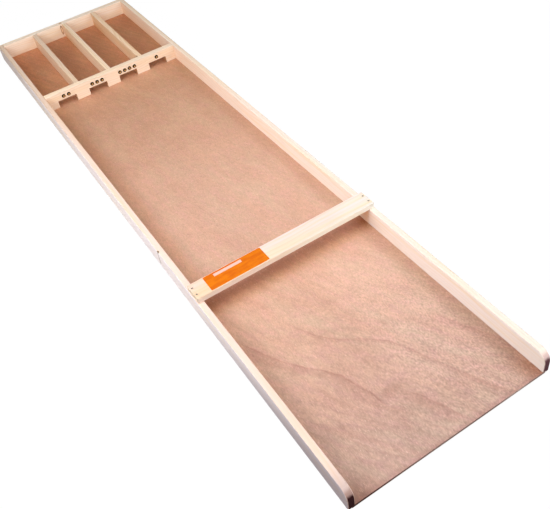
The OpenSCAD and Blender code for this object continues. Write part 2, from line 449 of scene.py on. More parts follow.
@dataclass
class Lathe:
    """A turned form: a line of radii and heights, carried once round an axis."""

    radii: np.ndarray
    heights: np.ndarray
    sides: int = 24

    def cover(self, skin: Skin, run: Axis, way: float, at: Triple, hollow: bool = False) -> None:
        """Adds the turned form to a skin.

        A point at angle a lies at the radius times (cos a, sin a) across the axis, and at the
        height along it.

        Args:
            skin: The skin that takes the faces.
            run: The axis of the turning.
            way: 1 if heights count along the axis, -1 if against it.
            at: The origin of the turning, as u, v and w of the run.
            hollow: Whether the normals face the axis, as in a hole.
        """
        line = np.stack([self.radii, self.heights], axis=1)
        _, start, end = segment_normals(line, False)
        sign = 1.0 if (line[0, 1] > line[-1, 1]) == hollow else -1.0
        angle = np.arange(self.sides + 1) * (2 * math.pi / self.sides)
        cos, sin = np.cos(angle)[None], np.sin(angle)[None]
        radius, height = line[:, :1], line[:, 1:]
        points = run.place(at[0] + radius * cos, at[1] + radius * sin, at[2] + way * height + 0 * cos)
        first = run.place(start[:, :1] * cos, start[:, :1] * sin, way * start[:, 1:] + 0 * cos) * sign
        second = run.place(end[:, :1] * cos, end[:, :1] * sin, way * end[:, 1:] + 0 * cos) * sign
        quads = np.stack([points[:-1, :-1], points[:-1, 1:], points[1:, 1:], points[1:, :-1]], axis=2)
        turned = np.stack([first[:, :-1], first[:, 1:], second[:, 1:], second[:, :-1]], axis=2)
        skin.add_quads(quads.reshape(-1, 4, 3), turned.reshape(-1, 4, 3))


# Node recipes

@dataclass(frozen=True)
class Zone:
    """A tone that sets in along the board, from none at its start to all of it at its end.

    A zone whose start lies behind its end is one of the player's end, and fades towards the back.
    """

    start: float
    end: float
    tone: Colour


class Recipe:
    """Writes the node tree of one finish. Places are millimetres on the object's own axes."""

    def __init__(self, name: str) -> None:
        """Starts a material with its output and its coordinates.

        Args:
            name: The material's name.
        """
        self.material = bpy.data.materials.new(name)
        self.material.use_nodes = True
        self.tree = self.material.node_tree
        self.tree.nodes.clear()
        self.output = self.node("OutputMaterial")
        coordinates = self.node("TexCoord")
        self.place = self.vector("MULTIPLY", coordinates.outputs["Object"], (1 / MM, 1 / MM, 1 / MM))
        self.normal = coordinates.outputs["Normal"]
        split = self.node("SeparateXYZ")
        self.feed(split.inputs[0], self.place)
        self.x, self.y, self.z = split.outputs

    def node(self, kind: str) -> bpy.types.Node:
        """A new node of a kind, named without the prefix that all shader nodes share."""
        return self.tree.nodes.new(f"ShaderNode{kind}")

    def feed(self, socket: Socket, value: Value) -> None:
        """Links a socket to another one, or sets its number, vector or colour.

        Args:
            socket: The socket that takes the value.
            value: What goes into it.
        """
        if isinstance(value, Socket):
            self.tree.links.new(value, socket)
        elif socket.type == "RGBA" and len(value) == 3:
            socket.default_value = (*value, 1.0)
        else:
            socket.default_value = value

    def vector(self, operation: str, a: Value, b: Value) -> Socket:
        """Combines two vectors.

        Args:
            operation: What the vector node does.
            a: The first vector.
            b: The second vector.

        Returns:
            A vector, or a number for a length or a dot product.
        """
        node = self.node("VectorMath")
        node.operation = operation
        self.feed(node.inputs[0], a)
        self.feed(node.inputs[1], b)
        return node.outputs["Value"] if operation in ("LENGTH", "DOT_PRODUCT") else node.outputs[0]

    def join(self, x: Value, y: Value, z: Value) -> Socket:
        """Makes a vector of three numbers.

        Args:
            x: Its part along X.
            y: Its part along Y.
            z: Its part along Z.

        Returns:
            The vector.
        """
        node = self.node("CombineXYZ")
        for socket, value in zip(node.inputs, (x, y, z)):
            self.feed(socket, value)
        return node.outputs[0]

    def calc(self, operation: str, a: Value, b: Value = 0.0, c: Value = 0.0) -> Socket:
        """Combines up to three numbers.

        Args:
            operation: What the number node does.
            a: The first number.
            b: The second number.
            c: The third number.

        Returns:
            The result.
        """
        node = self.node("Math")
        node.operation = operation
        for socket, value in zip(node.inputs, (a, b, c)):
            self.feed(socket, value)
        return node.outputs[0]

    def plus(self, a: Value, b: Value) -> Socket:
        """The sum of two numbers."""
        return self.calc("ADD", a, b)

    def times(self, a: Value, b: Value) -> Socket:
        """The product of two numbers."""
        return self.calc("MULTIPLY", a, b)

    def scaled(self, value: Value, factor: Value, offset: Value) -> Socket:
        """A number times a factor, plus an offset."""
        return self.calc("MULTIPLY_ADD", value, factor, offset)

    def size(self, value: Value) -> Socket:
        """A number without its sign."""
        return self.calc("ABSOLUTE", value)

    def rest(self, share: Value) -> Socket:
        """What a share leaves: one minus the share."""
        return self.calc("SUBTRACT", 1.0, share)

    def centred(self, noise: Value, reach: float) -> Socket:
        """Noise from 0 to 1, spread from minus the reach to the reach."""
        return self.scaled(noise, 2 * reach, -reach)

    def step(self, value: Value, low: float, high: float, to_low: float = 0.0,
             to_high: float = 1.0) -> Socket:
        """A smooth step from one level to another.

        Args:
            value: The number that drives it.
            low: Where the step starts.
            high: Where it ends.
            to_low: The level before it.
            to_high: The level after it.

        Returns:
            The level.
        """
        node = self.node("MapRange")
        node.interpolation_type = "SMOOTHSTEP"
        for socket, number in zip(node.inputs[:5], (value, low, high, to_low, to_high)):
            self.feed(socket, number)
        return node.outputs[0]

    def fall(self, value: Value, low: float, high: float) -> Socket:
        """A smooth fall from 1 to 0."""
        return self.step(value, low, high, 1.0, 0.0)

    def band(self, value: Value, rise: Span, fall: Span, peak: float = 1.0) -> Socket:
        """A smooth rise from 0, and a fall back to 0.

        Args:
            value: The number that drives it.
            rise: Where the rise starts and ends.
            fall: Where the fall starts and ends.
            peak: The level between the two.

        Returns:
            The level.
        """
        return self.times(self.step(value, *rise, 0.0, peak), self.fall(value, *fall))

    def curve(self, value: Value, places: tuple[float, ...], levels: tuple[float, ...]) -> Socket:
        """A smooth curve through some points.

        Args:
            value: The number that runs along the curve.
            places: Where the points are, rising.
            levels: The curve's level at each of them.

        Returns:
            The level at the value.
        """
        low, high = min(levels), max(levels)
        node = self.node("FloatCurve")
        line = node.mapping.curves[0]
        shares = [((p - places[0]) / (places[-1] - places[0]), (v - low) / (high - low))
                  for p, v in zip(places, levels)]
        for point, share in zip(line.points, (shares[0], shares[-1])):
            point.location = share
        for share in shares[1:-1]:
            line.points.new(*share)
        node.mapping.update()
        run = self.calc("DIVIDE", self.calc("SUBTRACT", value, places[0]), places[-1] - places[0])
        self.feed(node.inputs["Value"], self.calc("MINIMUM", self.calc("MAXIMUM", run, 0.0), 1.0))
        return self.scaled(node.outputs[0], high - low, low)

    def cloud(self, place: Value, scale: Triple, seed: float, detail: float = 2.0,
              roughness: float = 0.5) -> Socket:
        """Soft noise between 0 and 1, about 0.5 on average.

        Args:
            place: Where it is read.
            scale: Cells per millimetre along each axis.
            seed: Shifts the pattern.
            detail: Number of finer layers.
            roughness: Weight of the finer layers.

        Returns:
            The noise.
        """
        node = self.node("TexNoise")
        shift = tuple(seed * share for share in SEED_SHIFT)
        self.feed(node.inputs["Vector"], self.vector("ADD", self.vector("MULTIPLY", place, scale), shift))
        self.feed(node.inputs["Scale"], 1.0)
        self.feed(node.inputs["Detail"], detail)
        self.feed(node.inputs["Roughness"], roughness)
        return node.outputs[0]

    def slanted(self, slope: float) -> Socket:
        """The place in the board's plane, on axes that lean by a slope."""
        return self.join(self.scaled(self.y, slope, self.x), self.scaled(self.x, -slope, self.y), 0.0)

    def facing(self, way: Triple) -> Socket:
        """How squarely the surface looks a way, from -1 to 1."""
        return self.vector("DOT_PRODUCT", self.normal, way)

    def mix(self, share: Value, a: Value, b: Value) -> Socket:
        """Blends two colours.

        Args:
            share: How much of the second there is.
            a: The first colour.
            b: The second colour.

        Returns:
            The blend.
        """
        node = self.node("Mix")
        node.data_type = "RGBA"
        self.feed(node.inputs[0], share)
        self.feed(node.inputs[6], a)
        self.feed(node.inputs[7], b)
        return node.outputs[2]

    def shade(self, colour: Value, amount: Value) -> Socket:
        """A colour times a number."""
        return self.vector("MULTIPLY", colour, self.join(amount, amount, amount))

    def tint(self, colour: Value, share: Value, tone: Value) -> Socket:
        """A colour times a tone, as far as the share lets the tone count."""
        return self.vector("MULTIPLY", colour, self.mix(share, PLAIN, tone))

    def reach(self, zone: Zone) -> Socket:
        """How far a zone has set in at a place.

        Args:
            zone: The zone.

        Returns:
            A share from 0 to 1.
        """
        if zone.start < zone.end:
            return self.step(self.y, zone.start, zone.end)
        return self.fall(self.y, zone.end, zone.start)

    def zoned(self, colour: Value, zone: Zone, share: Value | None = None) -> Socket:
        """Tints a colour in a zone.

        Args:
            colour: The colour.
            zone: The zone.
            share: On which surfaces the tone counts, or None for all.

        Returns:
            The tinted colour.
        """
        reach = self.reach(zone)
        return self.tint(colour, reach if share is None else self.times(share, reach), zone.tone)

    def surface(self, colour: Value, roughness: Value, relief: Value, depth: float,
                **constants: float | Colour) -> bpy.types.Material:
        """Ends the recipe with a Principled shader.

        Args:
            colour: Base colour.
            roughness: Roughness.
            relief: Height of the surface, from 0 to 1.
            depth: What a relief of 1 is, in millimetres.
            constants: Further sockets by name, with underscores for spaces.

        Returns:
            The material.
        """
        shader, bump = self.node("BsdfPrincipled"), self.node("Bump")
        self.feed(shader.inputs["Base Color"], colour)
        self.feed(shader.inputs["Roughness"], roughness)
        for name, value in constants.items():
            self.feed(shader.inputs[name.replace("_", " ")], value)
        self.feed(bump.inputs["Strength"], 1.0)
        self.feed(bump.inputs["Distance"], depth * MM)
        self.feed(bump.inputs["Height"], relief)
        self.feed(shader.inputs["Normal"], bump.outputs[0])
        self.feed(self.output.inputs[0], shader.outputs[0])
        return self.material


def linear(red: int, green: int, blue: int) -> Colour:
    """The linear colour of three screen values from 0 to 255."""
    share = np.array([red, green, blue]) / 255
    return tuple(np.where(share <= 0.04045, share / 12.92, ((share + 0.055) / 1.055) ** 2.4).tolist())


@dataclass(frozen=True)
class Knot:
    """A knot or a stain in a board: an ellipsoid in the board's own place."""

    centre: Triple
    radii: Triple
    ring: float = 1.0
    core: float = 1.0


@dataclass(frozen=True)
class PineFinish:
    """Planed and sanded pine, with the growth rings of one tree cut along its fibres.

    The rings are circles round a pith outside the board, so every face shows the figure that
    such a cut would show. The pith sways along the board.
    """

    name: str
    fibres: Axis
    pith: tuple[float, float]
    seed: float
    ring_width: float = 3.4
    sway: float = 30.0
    contrast: float = 0.5
    early: Colour = linear(250, 232, 213)
    late: Colour = linear(236, 198, 158)
    warm: Colour = linear(248, 222, 184)
    end: Colour = linear(205, 160, 115)
    end_facing: Span = (0.55, 0.95)
    knots: tuple[Knot, ...] = ()
    knot_rim: Colour = linear(120, 72, 40)
    knot_heart: Colour = linear(222, 178, 132)
    ring_push: float = 3.0
    roughness: float = 0.56
    relief: float = 0.05
    gloss: float = 1.42

    # Cells of the noises per millimetre: twice across the fibres, then along them.
    sway_cells: Triple = (0.0, 0.0, 0.0045)
    ripple_cells: Triple = (0.06, 0.06, 0.011)
    ripple: float = 1.6
    patch_cells: Triple = (0.10, 0.10, 0.004)
    ring_cells: Triple = (0.16, 0.16, 0.006)
    fibre_cells: Triple = (1.7, 1.7, 0.035)
    resin_cells: Triple = (2.6, 2.6, 0.09)

    def paint(self) -> bpy.types.Material:
        """Writes the recipe.

        Returns:
            The material.
        """
        r = Recipe(self.name)
        across = {Axis.X: (r.y, r.z), Axis.Y: (r.x, r.z), Axis.Z: (r.x, r.y)}[self.fibres]
        along = (r.x, r.y, r.z)[self.fibres.value]
        grain = r.join(*across, along)
        push, glow = self.around_knots(r)
        late = r.band(r.calc("FRACT", self.rings(r, grain, across, push)), (0.35, 0.93), (0.94, 1.0))
        patches = r.cloud(grain, self.patch_cells, self.seed + 9)
        colour = r.mix(r.step(patches, 0.42, 0.75, 0.0, 0.75), self.early, self.warm)
        strength = r.cloud(grain, self.ring_cells, self.seed + 3, 1.0)
        share = r.times(late, r.step(strength, 0.3, 0.7, 0.25 * self.contrast, self.contrast))
        colour = r.mix(share, colour, self.late)
        fibre = r.cloud(grain, self.fibre_cells, self.seed + 5, 4.0, 0.65)
        colour = r.shade(colour, r.step(fibre, 0.25, 0.75, 0.955, 1.03))
        resin = r.step(r.cloud(grain, self.resin_cells, self.seed + 7, 1.0), 0.735, 0.79, 0.0, 0.30)
        colour = self.with_knots(r, r.mix(resin, colour, self.late))
        colour = r.mix(r.times(glow, 0.35), colour, self.late)
        colour = self.with_end_grain(r, colour, late)
        relief = r.plus(r.times(fibre, 0.6), r.times(late, 0.25))
        roughness = r.scaled(fibre, 0.12, self.roughness)
        return r.surface(colour, roughness, relief, self.relief, IOR=self.gloss)

    def rings(self, r: Recipe, grain: Socket, across: tuple[Socket, Socket], push: Value) -> Socket:
        """Counts the rings from the pith: the distance over the ring width, with ripples.

        Args:
            r: The recipe.
            grain: The place, with the fibres along its third axis.
            across: The two coordinates across the fibres.
            push: How far knots push the rings aside.

        Returns:
            The number of rings.
        """
        offset = [
            r.plus(across[k], r.scaled(r.cloud(grain, self.sway_cells, self.seed + k, 1.0),
                                       self.sway, -self.sway / 2 - self.pith[k]))
            for k in (0, 1)
        ]
        count = r.calc("DIVIDE", r.vector("LENGTH", r.join(*offset, 0.0), ORIGIN), self.ring_width)
        ripple = r.times(r.cloud(grain, self.ripple_cells, self.seed + 2), self.ripple)
        return r.plus(r.plus(count, ripple), push)

    def depth_in(self, r: Recipe, knot: Knot) -> Socket:
        """Distance from a knot's centre in its own radii, so that its rim is at 1."""
        offset = r.vector("SUBTRACT", r.place, knot.centre)
        return r.vector("LENGTH", r.vector("DIVIDE", offset, knot.radii), ORIGIN)

    def around_knots(self, r: Recipe) -> tuple[Value, Value]:
        """What the knots do round them: it fades with e to minus 0.9 times the depth.

        Args:
            r: The recipe.

        Returns:
            How far they push the rings aside, and a halo of resin.
        """
        push, glow = 0.0, 0.0
        for knot in self.knots:
            near = r.times(r.calc("EXPONENT", r.times(self.depth_in(r, knot), -0.9)), knot.ring)
            push = r.scaled(near, self.ring_push, push)
            glow = r.plus(glow, near)
        return push, glow

    def with_knots(self, r: Recipe, colour: Socket) -> Socket:
        """Lays the knots over a colour, a darker rim round a brown heart.

        Args:
            r: The recipe.
            colour: The wood's colour.

        Returns:
            The colour with the knots.
        """
        for knot in self.knots:
            ragged = r.cloud(r.place, (0.5, 0.5, 0.5), self.seed + 11)
            depth = r.scaled(ragged, 0.35, self.depth_in(r, knot))
            colour = r.mix(r.step(depth, 1.0, 1.22, knot.core, 0.0), colour, self.knot_heart)
            rim = r.band(depth, (0.72, 1.02), (1.12, 1.38))
            colour = r.mix(r.times(rim, knot.ring), colour, self.knot_rim)
        return colour

    def with_end_grain(self, r: Recipe, colour: Socket, late: Socket) -> Socket:
        """Darkens the ends, where the cut runs across the fibres and drinks in dirt.

        Args:
            r: The recipe.
            colour: The wood's colour.
            late: How much late wood there is, from 0 to 1.

        Returns:
            The colour with the ends.
        """
        facing = r.size(r.facing(self.unit()))
        rings = r.shade(self.end, r.scaled(late, -0.3, 1.0))
        return r.mix(r.step(facing, *self.end_facing), colour, rings)

    def unit(self) -> Triple:
        """The direction of the fibres."""
        return tuple(float(axis is self.fibres) for axis in Axis)


@dataclass(frozen=True)
class RailFinish(PineFinish):
    """Pine of a side rail, with painted light and shade on its faces, and a near-black front end that is
    partly dark end grain, partly painted shade.
    """

    # The near-black front end and the pinkish grey nose: partly dark end grain, partly painted shade.
    front_end: Colour = linear(52, 12, 14)
    nose: Colour = linear(178, 144, 134)
    outward: float = 1.0
    # Painted light on the outer face, and painted shade on it towards the back.
    painted_outer_light: Colour = (1.0, 1.12, 1.30)
    painted_rear_outer_shade: Zone = Zone(-80.0, 300.0, (0.90, 0.89, 0.86))
    painted_far_outer_shade: Zone = Zone(380.0, 470.0, (0.94, 0.91, 0.88))
    rim: Zone = Zone(150.0, 380.0, (0.84, 0.81, 0.76))
    rim_x: Span = (136.5, 139.0)
    # Painted shade on the top towards the back.
    painted_top_rear_shade: Colour = (0.96, 0.94, 0.86)
    top_rear_y: Span = (60.0, 560.0)
    # Painted shade on the outer face towards the front, and on the top at the front.
    shaded_front: bool = False
    painted_outer_front_shade: Colour = (0.52, 0.49, 0.51)
    outer_shade_y: Span = (-610.0, -230.0)
    outer_shade_lean: float = 3.8
    outer_shade_level: float = 16.0
    outer_shade_clouds: float = 30.0
    outer_shade_cells: Triple = (0.03, 0.008, 0.05)
    painted_front_top_shade: Zone = Zone(-546.0, -592.0, (0.74, 0.75, 0.82))
    # Painted light on the inner face at the front, painted shade towards the back, and a painted shadow
    # under the crossbar.
    painted_inner_front_light: Zone = Zone(-60.0, -400.0, (0.985, 1.05, 1.13))
    painted_inner_back_shade: Zone = Zone(0.0, 480.0, (0.90, 0.80, 0.69))
    painted_under_bar_shadow: Colour = (0.93, 0.76, 0.60)
    under_bar_rise: Span = (-284.0, -274.0)
    under_bar_fall: Span = (-266.0, -250.0)
    gloss: float = 1.30

    def with_end_grain(self, r: Recipe, colour: Socket, late: Socket) -> Socket:
        """Ends in brown at the back; at the front, a pinkish grey nose over a near-black end, partly dark
        end grain, partly painted shade.

        Args:
            r: The recipe.
            colour: The wood's colour.
            late: How much late wood there is, from 0 to 1.

        Returns:
            The colour with the faces' tones and the ends.
        """
        colour = self.with_faces(r, super().with_end_grain(r, colour, late))
        blotch = r.centred(r.cloud(r.place, (0.3, 0.3, 0.3), self.seed + 21), 0.04)
        facing = r.plus(r.facing(FRONTWARD), blotch)
        aside = r.size(r.facing(SIDEWARD))
        # The nose and the front end: painted shade where the face looks forwards, over dark end grain.
        nose = r.times(r.step(facing, 0.35, 0.80), r.step(aside, 0.3, 0.7, 1.0, 0.2))
        colour = r.mix(nose, colour, self.nose)
        dark = r.times(r.step(facing, 0.80, 0.955), r.fall(aside, 0.08, 0.4))
        return r.mix(dark, colour, self.front_end)

    def with_faces(self, r: Recipe, colour: Socket) -> Socket:
        """Tells the faces apart.

        The outer face has painted light, with painted shade towards the back; on the left rail,
        the outer face and the top have painted shade towards the front. The inner face has painted
        light at the player's end, and painted shade under the crossbar and towards the back. The
        outer edge of the top is darker towards the back, and the top has painted shade there.

        Args:
            r: The recipe.
            colour: The wood's colour.

        Returns:
            The colour with the faces' tones.
        """
        outward = r.facing((self.outward, 0.0, 0.0))
        outside = r.step(outward, *SQUARELY)
        # Painted light on the outer face, with painted shade towards its back.
        painted_outer_light = r.zoned(r.zoned(self.painted_outer_light, self.painted_rear_outer_shade), self.painted_far_outer_shade)
        colour = r.tint(colour, outside, painted_outer_light)
        edge = r.times(r.step(r.size(r.x), *self.rim_x), r.rest(outside))
        colour = r.zoned(colour, self.rim, edge)
        upward = r.step(r.facing(UPWARD), *SQUARELY)
        # Painted shade on the top towards the back.
        colour = r.tint(colour, r.times(upward, r.step(r.y, *self.top_rear_y)), self.painted_top_rear_shade)
        # Painted shade on the top at the front and on the outer face towards the front.
        if self.shaded_front:
            colour = r.zoned(colour, self.painted_front_top_shade, upward)
            cloudy = r.centred(r.cloud(r.place, self.outer_shade_cells, self.seed + 17), self.outer_shade_clouds)
            height = r.calc("SUBTRACT", r.z, self.outer_shade_level)
            place = r.scaled(height, self.outer_shade_lean, r.plus(r.y, cloudy))
            colour = r.tint(colour, r.times(outside, r.fall(place, *self.outer_shade_y)), self.painted_outer_front_shade)
        # Painted light on the inner face at the player's end, painted shade towards the back and a painted
        # shadow under the crossbar.
        tone = r.zoned(r.zoned(PLAIN, self.painted_inner_front_light), self.painted_inner_back_shade)
        tone = r.tint(tone, r.band(r.y, self.under_bar_rise, self.under_bar_fall), self.painted_under_bar_shadow)
        return r.tint(colour, r.fall(outward, -0.9, -0.4), tone)


@dataclass(frozen=True)
class CrossbarFinish(PineFinish):
    """Pine of the crossbar, browner at its left end, with painted light along its front face."""

    left_end: Colour = (0.96, 0.83, 0.80)
    left_x: Span = (-114.0, -96.0)
    middle: Colour = (0.975, 0.93, 0.985)
    right_end: Colour = (1.0, 1.02, 1.10)
    right_x: Span = (70.0, 118.0)
    # Painted light on the middle of the front face.
    painted_front_light: Colour = (1.08, 1.26, 1.28)
    pale_x: Span = (-60.0, 60.0)

    def with_end_grain(self, r: Recipe, colour: Socket, late: Socket) -> Socket:
        """Adds the tints of the top and the painted light of the front to the ends.

        Args:
            r: The recipe.
            colour: The wood's colour.
            late: How much late wood there is, from 0 to 1.

        Returns:
            The colour with the ends and the tints.
        """
        colour = super().with_end_grain(r, colour, late)
        tone = r.mix(r.step(r.x, *self.left_x), self.left_end, self.middle)
        tone = r.mix(r.step(r.x, *self.right_x), tone, self.right_end)
        colour = r.tint(colour, r.step(r.facing(UPWARD), *SQUARELY), tone)
        # Painted light on the middle of the front face.
        front = r.times(r.step(r.facing(FRONTWARD), 0.3, 0.8), r.step(r.x, *self.pale_x))
        return r.tint(colour, front, self.painted_front_light)


@dataclass(frozen=True)
class DividerFinish(PineFinish):
    """Pine of a divider, with painted light and shade on its sides: darker than its top, and most of all low
    at the back.
    """

    contrast: float = 0.6
    late: Colour = linear(226, 180, 132)
    knot_rim: Colour = linear(84, 58, 42)
    # Painted light and shade on the sides: darker than the top, changed at the back, and darkest low down
    # there.
    cheek: Colour = (0.86, 0.82, 0.78)
    rear_cheek: Colour = (0.95, 0.90, 0.82)
    rear_y: Span = (470.0, 560.0)
    foot: Colour = (0.93, 0.84, 0.73)
    foot_z: Span = (7.0, 20.0)

    def with_end_grain(self, r: Recipe, colour: Socket, late: Socket) -> Socket:
        """Adds the painted light and shade of the sides to the ends.

        Args:
            r: The recipe.
            colour: The wood's colour.
            late: How much late wood there is, from 0 to 1.

        Returns:
            The colour with the ends and the cheeks.
        """
        colour = super().with_end_grain(r, colour, late)
        # Painted light and shade on the sides, changed at the back and darkest low down there.
        rear = r.step(r.y, *self.rear_y)
        tone = r.tint(self.cheek, rear, self.rear_cheek)
        tone = r.tint(tone, r.times(rear, r.fall(r.z, *self.foot_z)), self.foot)
        return r.tint(colour, r.step(r.size(r.facing(SIDEWARD)), *SQUARELY), tone)


@dataclass(frozen=True)
class Blotch:
    """A soft place on a veneer: its middle, its half width and half length, its strength."""

    x: float
    y: float
    half_width: float
    half_length: float
    strength: float = 1.0
    slant: float = 0.0


@dataclass(frozen=True)
class FigureLine:
    """A dark line in a veneer's figure, sharp on its right and fading to its left.

    The line is given by its x at some places of y, from the front to the back.
    """

    y: tuple[float, ...]
    x: tuple[float, ...]
    fade: float
    strength: float


@dataclass(frozen=True)
class PlywoodFinish:
    """Three-ply sheet with reddish face veneers, fine open pores and a faint flame at the front.

    Painted shade lies in the right and the left front corner, and round the crossbar: under it,
    before it, and at its right end.
    """

    name: str = "reddish_plywood"
    thickness: float = 4.0
    face_ply: float = 1.1
    veneer: Colour = linear(222, 172, 146)
    redder: Colour = linear(188, 130, 112)
    beige: Colour = linear(219, 182, 154)
    pink: Colour = linear(226, 170, 154)
    dull_patch: Colour = (0.95, 0.93, 0.93)
    pale_patch: Colour = (1.03, 1.05, 1.055)
    all_over: Colour = (0.955, 0.99, 1.0)
    front: Zone = Zone(-280.0, -640.0, (0.76, 0.80, 0.88))
    front_margin: Zone = Zone(-588.0, -594.0, (0.88, 0.82, 0.84))
    lane: Zone = Zone(-150.0, 300.0, (0.86, 0.79, 0.69))
    lane_end: Zone = Zone(210.0, 290.0, (0.965, 0.93, 0.88))
    # Painted shade in the compartments, and more of it at their back.
    boxes: Zone = Zone(326.0, 342.0, (1.05, 0.905, 0.78))
    box_rear: Zone = Zone(470.0, 550.0, (0.95, 0.85, 0.76))
    past_bar_y: Span = (-300.0, -190.0)
    start_tone: Colour = (1.045, 1.065, 1.09)
    start_x: Span = (-20.0, 50.0)
    start_y: Span = (-575.0, -500.0)
    left_tone: Colour = (0.95, 0.945, 0.95)
    left_rise: Span = (-108.0, -64.0)
    left_fall: Span = (-15.0, 25.0)
    # Painted light beside the left rail, behind the crossbar.
    painted_left_light: Colour = (1.11, 1.08, 1.02)
    left_lane_rise: Span = (-124.0, -116.0)
    left_lane_fall: Span = (-112.0, -98.0)
    # Painted shade beside the rails, cut on the right behind the crossbar.
    margin: Colour = (0.775, 0.75, 0.69)
    margin_x: Span = (106.0, 134.0)
    margin_shift: float = 3.5
    right_shade_cut: float = 0.45
    # Painted shade in the two front corners, under the crossbar, before it, and at its right end.
    painted_shades: tuple[tuple[Blotch, Colour], ...] = (
        (Blotch(131.0, -583.0, 17.0, 25.0), (0.86, 0.65, 0.54)),
        (Blotch(-124.0, -595.0, 22.0, 18.0), (0.66, 0.54, 0.48)),
        (Blotch(0.0, -265.0, 400.0, 14.0), (0.76, 0.63, 0.57)),
        (Blotch(0.0, -280.0, 400.0, 12.0), (0.995, 0.95, 0.82)),
        (Blotch(131.0, -269.0, 11.0, 12.0), (0.84, 0.62, 0.45)),
    )
    underside_tone: Colour = (0.86, 0.84, 0.80)
    underside_shift: float = 900.0
    pore: Colour = linear(146, 92, 70)
    fleck: Colour = linear(250, 216, 196)
    core: Colour = linear(124, 66, 46)
    edge: Colour = linear(86, 40, 28)
    # Painted shade at the left end of the sheet's edge, and painted light towards its right, with a painted
    # highlight near x = 90.
    edge_shade_x: Span = (-126.0, -100.0)
    painted_edge_light: Colour = linear(200, 172, 160)
    edge_light_x: tuple[float, ...] = (-128.0, -105.0, -80.0, -50.0, 40.0, 70.0, 90.0, 110.0, 135.0)
    edge_light_share: tuple[float, ...] = (0.0, 0.0, 0.2, 0.4, 0.4, 0.52, 0.95, 0.6, 0.5)
    grain_cells: Triple = (0.80, 0.26, 0.5)
    fleck_cells: Triple = (1.5, 0.20, 0.5)
    pore_cells: Triple = (2.1, 0.16, 0.5)
    wide_cells: Triple = (0.04, 0.008, 0.0)
    blush_cells: Triple = (0.10, 0.04, 0.0)
    patch_cells: Triple = (0.030, 0.016, 0.0)
    soft_curl_cells: Triple = (0.13, 0.045, 0.0)
    fine_curl_cells: Triple = (0.30, 0.09, 0.0)
    curl_slope: float = 0.45
    streak_cells: Triple = (0.17, 0.014, 0.0)
    streak_slope: float = 0.35
    streak_depth: float = 0.08
    ripple_cells: Triple = (0.016, 0.011, 0.0)
    ripple: float = 22.0
    wave_cells: Triple = (0.07, 0.05, 0.0)
    wave: float = 4.5
    lean: float = 0.10
    bend: float = 0.000715
    bend_start: float = -200.0
    tip: Blotch = Blotch(-24.0, -502.0, 20.0, 26.0)
    tip_dip: float = 26.0
    fine_gap: float = 15.6
    figure: tuple[FigureLine, ...] = (
        FigureLine((-526.0, -492.0, -455.0, -418.0, -365.0, -325.0),
                   (-31.0, -40.0, -54.0, -83.0, -113.0, -124.0), 17.0, 0.72),
        FigureLine((-592.0, -568.0, -545.0, -520.0, -500.0), (28.0, 18.0, 9.0, -7.0, -34.0), 18.0, 0.62),
        FigureLine((-592.0, -565.0, -528.0, -492.0, -468.0, -435.0, -408.0, -345.0),
                   (88.0, 73.0, 57.0, 42.0, 33.0, 3.0, -30.0, -62.0), 8.0, 0.48),
        FigureLine((-590.0, -550.0, -518.0, -488.0, -440.0), (148.0, 136.0, 123.0, 107.0, 92.0), 9.0, 0.46),
        FigureLine((-590.0, -560.0, -520.0, -470.0), (-52.0, -76.0, -98.0, -124.0), 8.0, 0.30),
    )
    blotches: tuple[Blotch, ...] = (
        Blotch(-90.0, -515.0, 7.0, 14.0, 0.30), Blotch(-30.0, -547.0, 7.0, 15.0, 0.34),
        Blotch(-12.0, -512.0, 14.0, 8.0, 0.22), Blotch(-24.0, -516.0, 9.0, 11.0, 0.26),
        Blotch(-38.5, -100.0, 0.7, 36.0, 0.30, -0.19), Blotch(-7.5, -90.0, 0.6, 22.0, 0.26, -0.25),
    )

    def paint(self) -> bpy.types.Material:
        """Writes the recipe. The underside reads the same veneer a long way to the side.

        Returns:
            The material.
        """
        r = Recipe(self.name)
        underside = r.fall(r.z, 0.05, 0.3)
        r.x = r.scaled(underside, self.underside_shift, r.x)
        r.place = r.join(r.x, r.y, r.z)
        tone = r.mix(underside, self.tone(r), self.underside_tone)
        colour = r.vector("MULTIPLY", self.veneered(r), tone)
        front = r.fall(r.y, -560.0, -250.0)
        curled = r.times(self.curl(r), r.scaled(front, 0.06, 0.07))
        colour = r.shade(colour, r.plus(r.plus(curled, self.streak(r)), 1.0))
        grain = r.cloud(r.place, self.grain_cells, 1.3, 2.5, 0.7)
        colour = self.grained(r, colour, grain, front)
        light = r.step(r.cloud(r.place, self.fleck_cells, 6.9, 1.0), 0.62, 0.76, 0.0, 0.42)
        colour = r.mix(light, colour, self.fleck)
        dash = r.step(r.cloud(r.place, self.pore_cells, 4.9, 1.0), 0.60, 0.74, 0.0, 0.34)
        colour = self.with_plies(r, r.mix(dash, colour, self.pore))
        relief = r.calc("SUBTRACT", r.times(grain, 0.5), dash)
        return r.surface(colour, r.scaled(grain, 0.20, 0.36), relief, 0.05, IOR=1.46)

